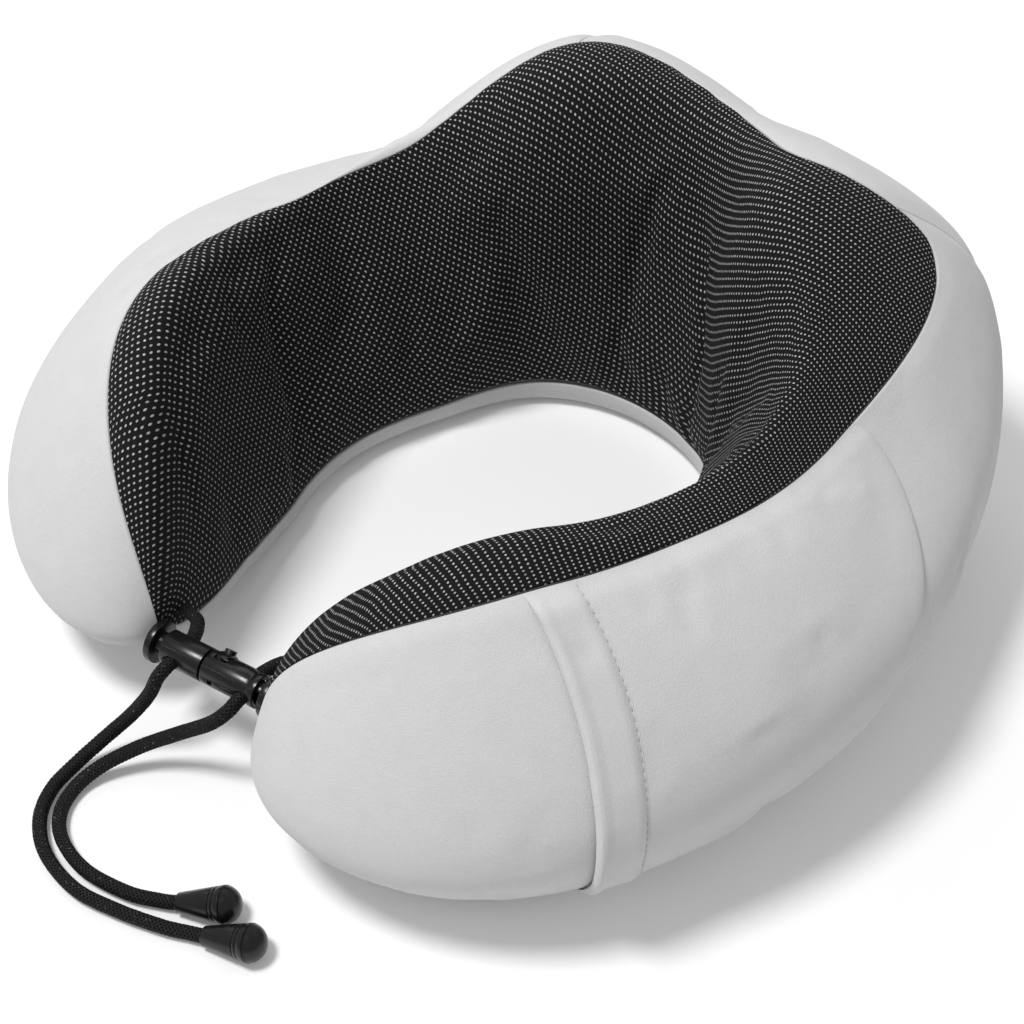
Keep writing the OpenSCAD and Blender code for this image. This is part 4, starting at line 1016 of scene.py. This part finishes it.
# ==== Zip stops, slider and pull
# Small cast and plated metal parts: a stop at each end of the coils, the slider that joins
# them, and its flat pull tab, which hangs from the bridge by an eye.
CAST_EDGE = 0.00018
zip_metal, tree, shader = new_material("zip_metal", (0.55, 0.55, 0.56), 0.28, Metallic=1.0)
place = object_place(tree)
wire(tree, shader, Roughness=remap(tree, noise(tree, place, 700, 3), 0.3, 0.7, 0.22, 0.4),
     Normal=bump(tree, noise(tree, place, 1500), 0.00004, 0.4))


def refined(name, node, width):
    """The engineering shape of a hard part with its edges softened as moulding or casting does."""
    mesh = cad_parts[node].data.copy()
    obj = bpy.data.objects.new(name, mesh)
    scene.collection.objects.link(obj)
    bm = bmesh.new()
    bm.from_mesh(mesh)
    bmesh.ops.remove_doubles(bm, verts=bm.verts, dist=0.00001)
    bmesh.ops.dissolve_limit(bm, angle_limit=math.radians(1), verts=bm.verts, edges=bm.edges)
    bm.to_mesh(mesh)
    bm.free()
    mesh.shade_smooth()
    modifier = obj.modifiers.new("edges", "BEVEL")
    modifier.width = width
    modifier.segments = 2
    modifier.limit_method = "ANGLE"
    modifier.angle_limit = math.radians(35)
    modifier.use_clamp_overlap = True
    evaluated = obj.evaluated_get(bpy.context.evaluated_depsgraph_get())
    baked = bpy.data.meshes.new_from_object(evaluated)
    obj.modifiers.clear()
    obj.data = baked
    baked.set_sharp_from_angle(angle=math.radians(40))
    return obj


for node, body in (("zip_stops", "pillow"), ("zip_slider", "slider"), ("zip_pull", "pull")):
    finish_piece(refined(node + "_cast", node, CAST_EDGE), zip_metal, body, "zip_metal", node)

# ==== Cords
# Two black round-braided cords. Each is knotted inside an arm's tip, passes through one half of
# the lock in a small loop, and trails on the table to its conical end.

# The lock's middle in millimetres and three ways through it: along its length, along the
# cords' holes and out of its mould. Then the holes' places along it, half their length, and
# the radii of the loops that the cords make behind it.
LOCK = np.array([-3, -110.53, 30])
LOCK_U = np.array([0.965926, 0.258819, 0])
LOCK_Q = np.array([-0.258819, 0.965926, 0])
LOCK_P = np.array([-0.203952, 0.761162, 0.615661])
LEFT_HOLE, RIGHT_HOLE, HOLE_HALF, LEFT_LOOP, RIGHT_LOOP = -9.8, 14.2, 5.5, 7.2, 7.8
# The mouth of each cord end and the way it points, in millimetres and degrees. A cord end is a
# cone that widens by FLARE over its length, so it lies tilted on its side. The cord comes
# straight for BEFORE_MOUTH and reaches IN_MOUTH into it.
BELLS = {"left": (48.9, -155.93, 30), "right": (35.9, -154.63, 36)}
MOUTH_R, FLARE, CONE_LENGTH = 2.7, 2.6, 13.5
TILT = math.atan(FLARE / CONE_LENGTH)
BEFORE_MOUTH, IN_MOUTH = 5, 8
# The height of the cord's middle where it lies on the table, in millimetres.
LYING = 2.3
# The braid in metres: the radius of its core, the strands' distance from the middle and how
# far they weave in and out, their own radius, the length in which they go round once, and the
# number of strands each way. PACE is the spacing of the points on the cord.
PACE = 0.00034
CORE_R, WEAVE_R, WEAVE, STRAND_R, LAY, STRANDS = 0.00145, 0.00168, 0.00012, 0.00033, 0.0095, 8

braid, tree, shader = new_material("braid", (0.009, 0.009, 0.01), 0.75, Specular_IOR_Level=0.25)
place = object_place(tree)
flecks = remap(tree, noise(tree, place, 1400, 1), 0.67, 0.75)
wire(tree, shader, Base_Color=blend_colour(tree, flecks, (0.009, 0.009, 0.01), (0.12, 0.12, 0.115)),
     Normal=bump(tree, noise(tree, place, 5000), 0.00008, 0.5))


def through_lock(x):
    """The straight run through a barrel, x along the lock from its middle."""
    return [LOCK + x * LOCK_U + s * LOCK_Q for s in (HOLE_HALF, 0, -HOLE_HALF)]


def loop_point(x, r, t):
    """A point of the loop behind a barrel, t degrees round its radius r."""
    t = math.radians(t)
    aside = x + r * (1 - math.cos(t)) * math.copysign(1, x)
    return LOCK + aside * LOCK_U + (HOLE_HALF + r * math.sin(t)) * LOCK_Q


def bell_frame(side):
    """Mouth and axis of a cord end that lies on its side."""
    x, y, yaw = BELLS[side]
    yaw = math.radians(yaw)
    mouth_at = np.array([x, y, MOUTH_R * math.cos(TILT)])
    axis = np.array([math.cos(TILT) * math.cos(yaw), math.cos(TILT) * math.sin(yaw),
                     math.sin(TILT)])
    return mouth_at, axis


def into_bell(side):
    """The cord's last points: before the cord end, in its mouth and inside it."""
    x, y, yaw = BELLS[side]
    yaw = math.radians(yaw)
    mouth_at, axis = bell_frame(side)
    before = (x - BEFORE_MOUTH * math.cos(yaw), y - BEFORE_MOUTH * math.sin(yaw), LYING)
    return [before, mouth_at, mouth_at + IN_MOUTH * axis]


routes = {
    "left": [
        (-28.4, -112, 30),
        *[loop_point(LEFT_HOLE, LEFT_LOOP, t) for t in (120, 60)], *through_lock(LEFT_HOLE),
        (-10.9, -122.4, 28.2), (-12.6, -125.5, 21.5), (-16.3, -130.2, 13.6),
        (-19.4, -138.3, 7.4), (-20.5, -148, 3.4), (-18.6, -157.7, LYING),
        (-12.2, -165.9, LYING), (-1.5, -171.1, LYING), (13, -171.8, LYING),
        (26, -167.8, LYING), (38.3, -162.2, LYING), *into_bell("left")],
    "right": [
        (28.4, -111.5, 30), (26, -104, 30),
        *[loop_point(RIGHT_HOLE, RIGHT_LOOP, t) for t in (180, 120, 60)],
        *through_lock(RIGHT_HOLE),
        (12.2, -116.5, 28.3), (8.4, -120.2, 23.3), (-0.4, -125.4, 15.5), (-8.6, -133.3, 9.2),
        (-13.9, -143.5, 4.7), (-14.5, -152.4, 2.5), (-10.4, -160.3, LYING),
        (-2.4, -165.2, LYING), (10, -166.3, LYING), (23.5, -162.5, LYING),
        *into_bell("right")]}


def smooth_line(route):
    """The cord's centreline in metres, through every point of its route, at an even pace."""
    p = np.array(route, float) / 1000
    p = np.concatenate([p[:1], p, p[-1:]])
    t = np.linspace(0, 1, 60, endpoint=False)[:, None]
    out = [(2 * b + t * (c - a) + t**2 * (2 * a - 5 * b + 4 * c - d)
            + t**3 * (3 * b - a - 3 * c + d)) / 2
           for a, b, c, d in zip(p[:-3], p[1:-2], p[2:-1], p[3:])]
    line = np.concatenate(out + [p[-1:]])
    far = travelled_along(line)
    even = np.linspace(0, far[-1], int(far[-1] / PACE) + 1)
    return np.stack([np.interp(even, far, line[:, n]) for n in range(3)], -1), far[-1]


def braided(name, route):
    """Sixteen strands, eight each way, that pass over and under each other round a core."""
    line, length = smooth_line(route)
    core, n, b = tube_points(line, CORE_R, 10)
    points, faces, start = [core.reshape(-1, 3)], ring_faces(len(line), 10), len(line) * 10
    turns = 2 * np.pi * np.linspace(0, length, len(line)) / LAY
    for way in (1, -1):
        for number in range(STRANDS):
            angle = way * turns + 2 * np.pi * number / STRANDS
            weave = np.cos(turns * STRANDS / 2 + way * np.pi / 2 + np.pi * number)
            r = WEAVE_R + WEAVE * weave
            strand = line + r[:, None] * (np.cos(angle)[:, None] * n + np.sin(angle)[:, None] * b)
            rings, _, _ = tube_points(strand, STRAND_R, 5, up=n[0])
            points.append(rings.reshape(-1, 3))
            faces += ring_faces(len(line), 5, start)
            start += len(line) * 5
    return recalculated(mesh_object(name, np.concatenate(points), faces)), line, length


cords = {side: braided("braided_cord_" + side, route) for side, route in routes.items()}
for side, (cord_piece, _, _) in cords.items():
    finish_piece(cord_piece, braid, "pillow", "cord", "cord_" + side)

# ==== Stop knots
# The inner end of each cord is tied in a simple overhand knot, which the arm's tip hides. It
# stops the cord from pulling out of the cover.
KNOT_SIZE, KNOT_CORD_R = 0.00068, 0.0009
t = np.linspace(0, 2 * np.pi, 121)
trefoil = np.stack([np.sin(t) + 2 * np.sin(2 * t), np.cos(t) - 2 * np.cos(2 * t),
                    -np.sin(3 * t)], -1)
for side, route in routes.items():
    tied = tube("overhand_knot_" + side, trefoil * KNOT_SIZE + np.array(route[0]) / 1000,
                KNOT_CORD_R, 10)
    finish_piece(tied, braid, "pillow", "cord", "cord_knot_" + side)

# ==== Cord ends
# Each cord runs into a hollow black cone with two fine grooves, closed by a domed plug that
# presses into its wide end and hides the knot.

# In millimetres: the grooves' places along the cone and their depth, the cone's bores for the
# cord and for the plug and where the two meet, and the plug's dome and stem. CORD_START is
# where the free cord begins, in metres along it.
GROOVES, GROOVE_DEEP = (10.2, 11.4), 0.24
CORD_BORE, PLUG_BORE, PLUG_SEAT = 2.3, 3.8, 7.0
DOME_R, DOME_SUNK, STEM_R, STEM_LENGTH = 5.3, 0.7, 3.7, 2.5

satin, tree, shader = new_material("satin_plastic", (0.007, 0.007, 0.0075), 0.3,
                                   Specular_IOR_Level=0.38)
place = object_place(tree)
wire(tree, shader, Roughness=remap(tree, noise(tree, place, 220, 3), 0.3, 0.7, 0.22, 0.31),
     Normal=bump(tree, noise(tree, place, 4200), 0.00003, 0.35))


def turned_part(name, origin, axis, profile, sides=72):
    """A part turned from a closed profile of distance along the axis and radius, in mm."""
    profile = np.array(profile, float)
    side_way = np.cross(axis, [0, 0, 1.0])
    side_way /= np.linalg.norm(side_way)
    third = np.cross(axis, side_way)
    w = np.linspace(0, 2 * np.pi, sides, endpoint=False)
    around_axis = np.cos(w)[:, None] * side_way + np.sin(w)[:, None] * third
    points = (origin + profile[:, None, :1] * axis + profile[:, None, 1:] * around_axis) / 1000
    index = np.arange(len(profile) * sides).reshape(len(profile), sides)
    nxt, down = np.roll(index, -1, 1), np.roll(index, -1, 0)
    faces = np.stack([index, nxt, np.roll(nxt, -1, 0), down], -1).reshape(-1, 4)
    obj = mesh_object(name, points, faces)
    bm = bmesh.new()
    bm.from_mesh(obj.data)
    bmesh.ops.remove_doubles(bm, verts=bm.verts, dist=1e-7)
    bmesh.ops.dissolve_degenerate(bm, edges=bm.edges, dist=1e-7)
    bm.to_mesh(obj.data)
    bm.free()
    recalculated(obj)
    obj.data.set_sharp_from_angle(angle=math.radians(38))
    return obj


def cone_at(x, sunk=0.0, beside=0.0):
    """A point of the cone's outside x from its mouth, where it is sunk into a groove or edge."""
    return x + beside, MOUTH_R + FLARE * x / CONE_LENGTH - sunk


cone_profile = [(0.0, CORD_BORE + 0.02), (0.0, MOUTH_R - 0.2), (0.12, MOUTH_R - 0.04), cone_at(0.3)]
for groove in GROOVES:
    cone_profile += [cone_at(groove - 0.3), cone_at(groove, GROOVE_DEEP / 4, -0.16),
                     cone_at(groove, GROOVE_DEEP), cone_at(groove, GROOVE_DEEP / 4, 0.16),
                     cone_at(groove + 0.3)]
cone_profile += [cone_at(13.1), cone_at(13.3, 0.04, 0.02), cone_at(13.4, 0.18, 0.06),
                 (CONE_LENGTH, 5.0), (CONE_LENGTH, PLUG_BORE), (PLUG_SEAT, PLUG_BORE),
                 (PLUG_SEAT, CORD_BORE), (0.4, CORD_BORE)]
plug_profile = [(0.0, 4.9), (0.08, 5.1), (0.3, 5.24)]
plug_profile += [(max(0.35, DOME_R * math.sin(a) - DOME_SUNK), DOME_R * math.cos(a))
                 for a in np.linspace(0.1, math.pi / 2, 12)]
plug_profile += [(-STEM_LENGTH, 0.0), (-STEM_LENGTH, STEM_R - 0.3), (0.3 - STEM_LENGTH, STEM_R),
                 (0.0, STEM_R)]

for side, (cord_piece, line, length) in cords.items():
    mouth_at, axis = bell_frame(side)
    cone = turned_part("cord_cone_" + side, mouth_at, axis, cone_profile)
    finish_piece(cone, satin, "pillow", "black_plastic", "bell_" + side)
    plug = turned_part("cord_plug_" + side, mouth_at + CONE_LENGTH * axis, axis, plug_profile)
    finish_piece(plug, satin, "pillow", "black_plastic", "bell_plug_" + side)

# ==== Cord lock
# Two moulded barrels of black acetal that plug end to end. Each holds a sprung plunger whose
# flange is pressed to free the cord; a saddle-shaped button in the right one opens the latch.

# The two halves of the mould leave a fine parting line along each part.
lock_plastic = satin.copy()
lock_plastic.name = "lock_plastic"
tree = lock_plastic.node_tree
shader = tree.nodes["Principled BSDF"]
offset = vector_math(tree, "SUBTRACT", object_place(tree), tuple(LOCK / 1000))
height = vector_math(tree, "DOT_PRODUCT", offset, tuple(LOCK_P))
parting = remap(tree, math_node(tree, "ABSOLUTE", height), 0.00006, 0.00014, 1.0, 0.0)
grained = shader.inputs["Normal"].links[0].from_socket
wire(tree, shader, Normal=bump(tree, parting, 0.00006, 0.8, grained))

for node, body, edge in (("lock_housing_left", "pillow", 0.0002),
                         ("lock_housing_right", "pillow", 0.0002),
                         ("lock_plunger_left", "plunger_left", 0.0003),
                         ("lock_plunger_right", "plunger_right", 0.0003),
                         ("release_button", "release", 0.0002)):
    finish_piece(refined(node + "_moulded", node, edge), lock_plastic, body, "black_plastic", node)

# ==== Lock springs
# A short compression spring behind each plunger, wound from steel wire. It is shown at its
# pressed length.

# The spring's radius and pressed length in millimetres, its turns, its wire's radius in
# metres, and where along the lock the two springs stand.
SPRING_R, SPRING_LENGTH, TURNS, WIRE_R = 3.0, 1.26, 2.5, 0.00025
LEFT_FLOOR, RIGHT_FLOOR = -2.0, 6.5
spring_steel, tree, shader = new_material("spring_steel", (0.5, 0.5, 0.52), 0.25, Metallic=1.0)
wire(tree, shader, Normal=bump(tree, noise(tree, object_place(tree), 2500), 0.00002, 0.5))
across_lock = np.cross(LOCK_P, LOCK_U)
w = np.linspace(0, TURNS * 2 * np.pi, 121)[:, None]
for side, label, floor_x in ((-1, "left", LEFT_FLOOR), (1, "right", RIGHT_FLOOR)):
    x = floor_x + side * (0.27 + SPRING_LENGTH * w / w[-1])
    helix = (LOCK + x * LOCK_U + SPRING_R * np.cos(w) * across_lock
             + side * SPRING_R * np.sin(w) * LOCK_P) / 1000
    wound = tube("wound_spring_" + label, helix, WIRE_R, 10, up=LOCK_U)
    finish_piece(wound, spring_steel, "pillow", "spring_wire", "lock_spring_" + label)

# ==== Floor and light
# A plain pale table top under two large soft lights in a white room: the stronger nearly
# overhead, the weaker lower and behind the left side.

# Each light's place, size and power, the point that both face, and the room's brightness.
LIGHTS = {"key": ((-0.24, -0.5, 1.46), 0.4, 17.0), "fill": ((-1.1, 0.6, 0.9), 1.2, 4.0)}
LIT_AT, ROOM = Vector((0, 0, 0.04)), 0.42
FLOOR_HALF, FLOOR_Z = 6, -0.0003

floor_mesh = bpy.data.meshes.new("floor")
floor_mesh.from_pydata([(x * FLOOR_HALF, y * FLOOR_HALF, FLOOR_Z)
                        for x, y in ((-1, -1), (1, -1), (1, 1), (-1, 1))], [], [(0, 1, 2, 3)])
table = bpy.data.objects.new("floor", floor_mesh)
scene.collection.objects.link(table)
# The floor is seen and mirrored a little lighter than it lights the pillow.
paper, tree, shader = new_material("paper", (0.86, 0.86, 0.86), 0.9, Specular_IOR_Level=0.1)
seen = add(tree, "ShaderNodeBsdfDiffuse", {"Color": (0.87, 0.87, 0.87, 1)}).outputs[0]
glow = add(tree, "ShaderNodeEmission", {"Color": (1, 1, 1, 1), "Strength": 0.11}).outputs[0]
lifted = add(tree, "ShaderNodeAddShader", {0: seen, 1: glow}).outputs[0]
path = add(tree, "ShaderNodeLightPath").outputs
shown = math_node(tree, "ADD", path["Is Camera Ray"], path["Is Glossy Ray"])
shown = math_node(tree, "ADD", shown, path["Is Transmission Ray"], clamp=True)
mixed = add(tree, "ShaderNodeMixShader", {0: shown, 1: shader.outputs[0], 2: lifted}).outputs[0]
tree.links.new(mixed, tree.nodes["Material Output"].inputs["Surface"])
floor_mesh.materials.append(paper)

for name, (at, size, power) in LIGHTS.items():
    data = bpy.data.lights.new(name, "AREA")
    data.shape = "DISK"
    data.size = size
    data.energy = power
    lamp = bpy.data.objects.new(name, data)
    lamp.location = at
    lamp.rotation_euler = (LIT_AT - Vector(at)).to_track_quat("-Z", "Y").to_euler()
    scene.collection.objects.link(lamp)
world = bpy.data.worlds.new("studio")
world.use_nodes = True
world.node_tree.nodes["Background"].inputs["Color"].default_value = (1, 1, 1, 1)
world.node_tree.nodes["Background"].inputs["Strength"].default_value = ROOM
scene.world = world
scene.view_settings.view_transform = "Standard"
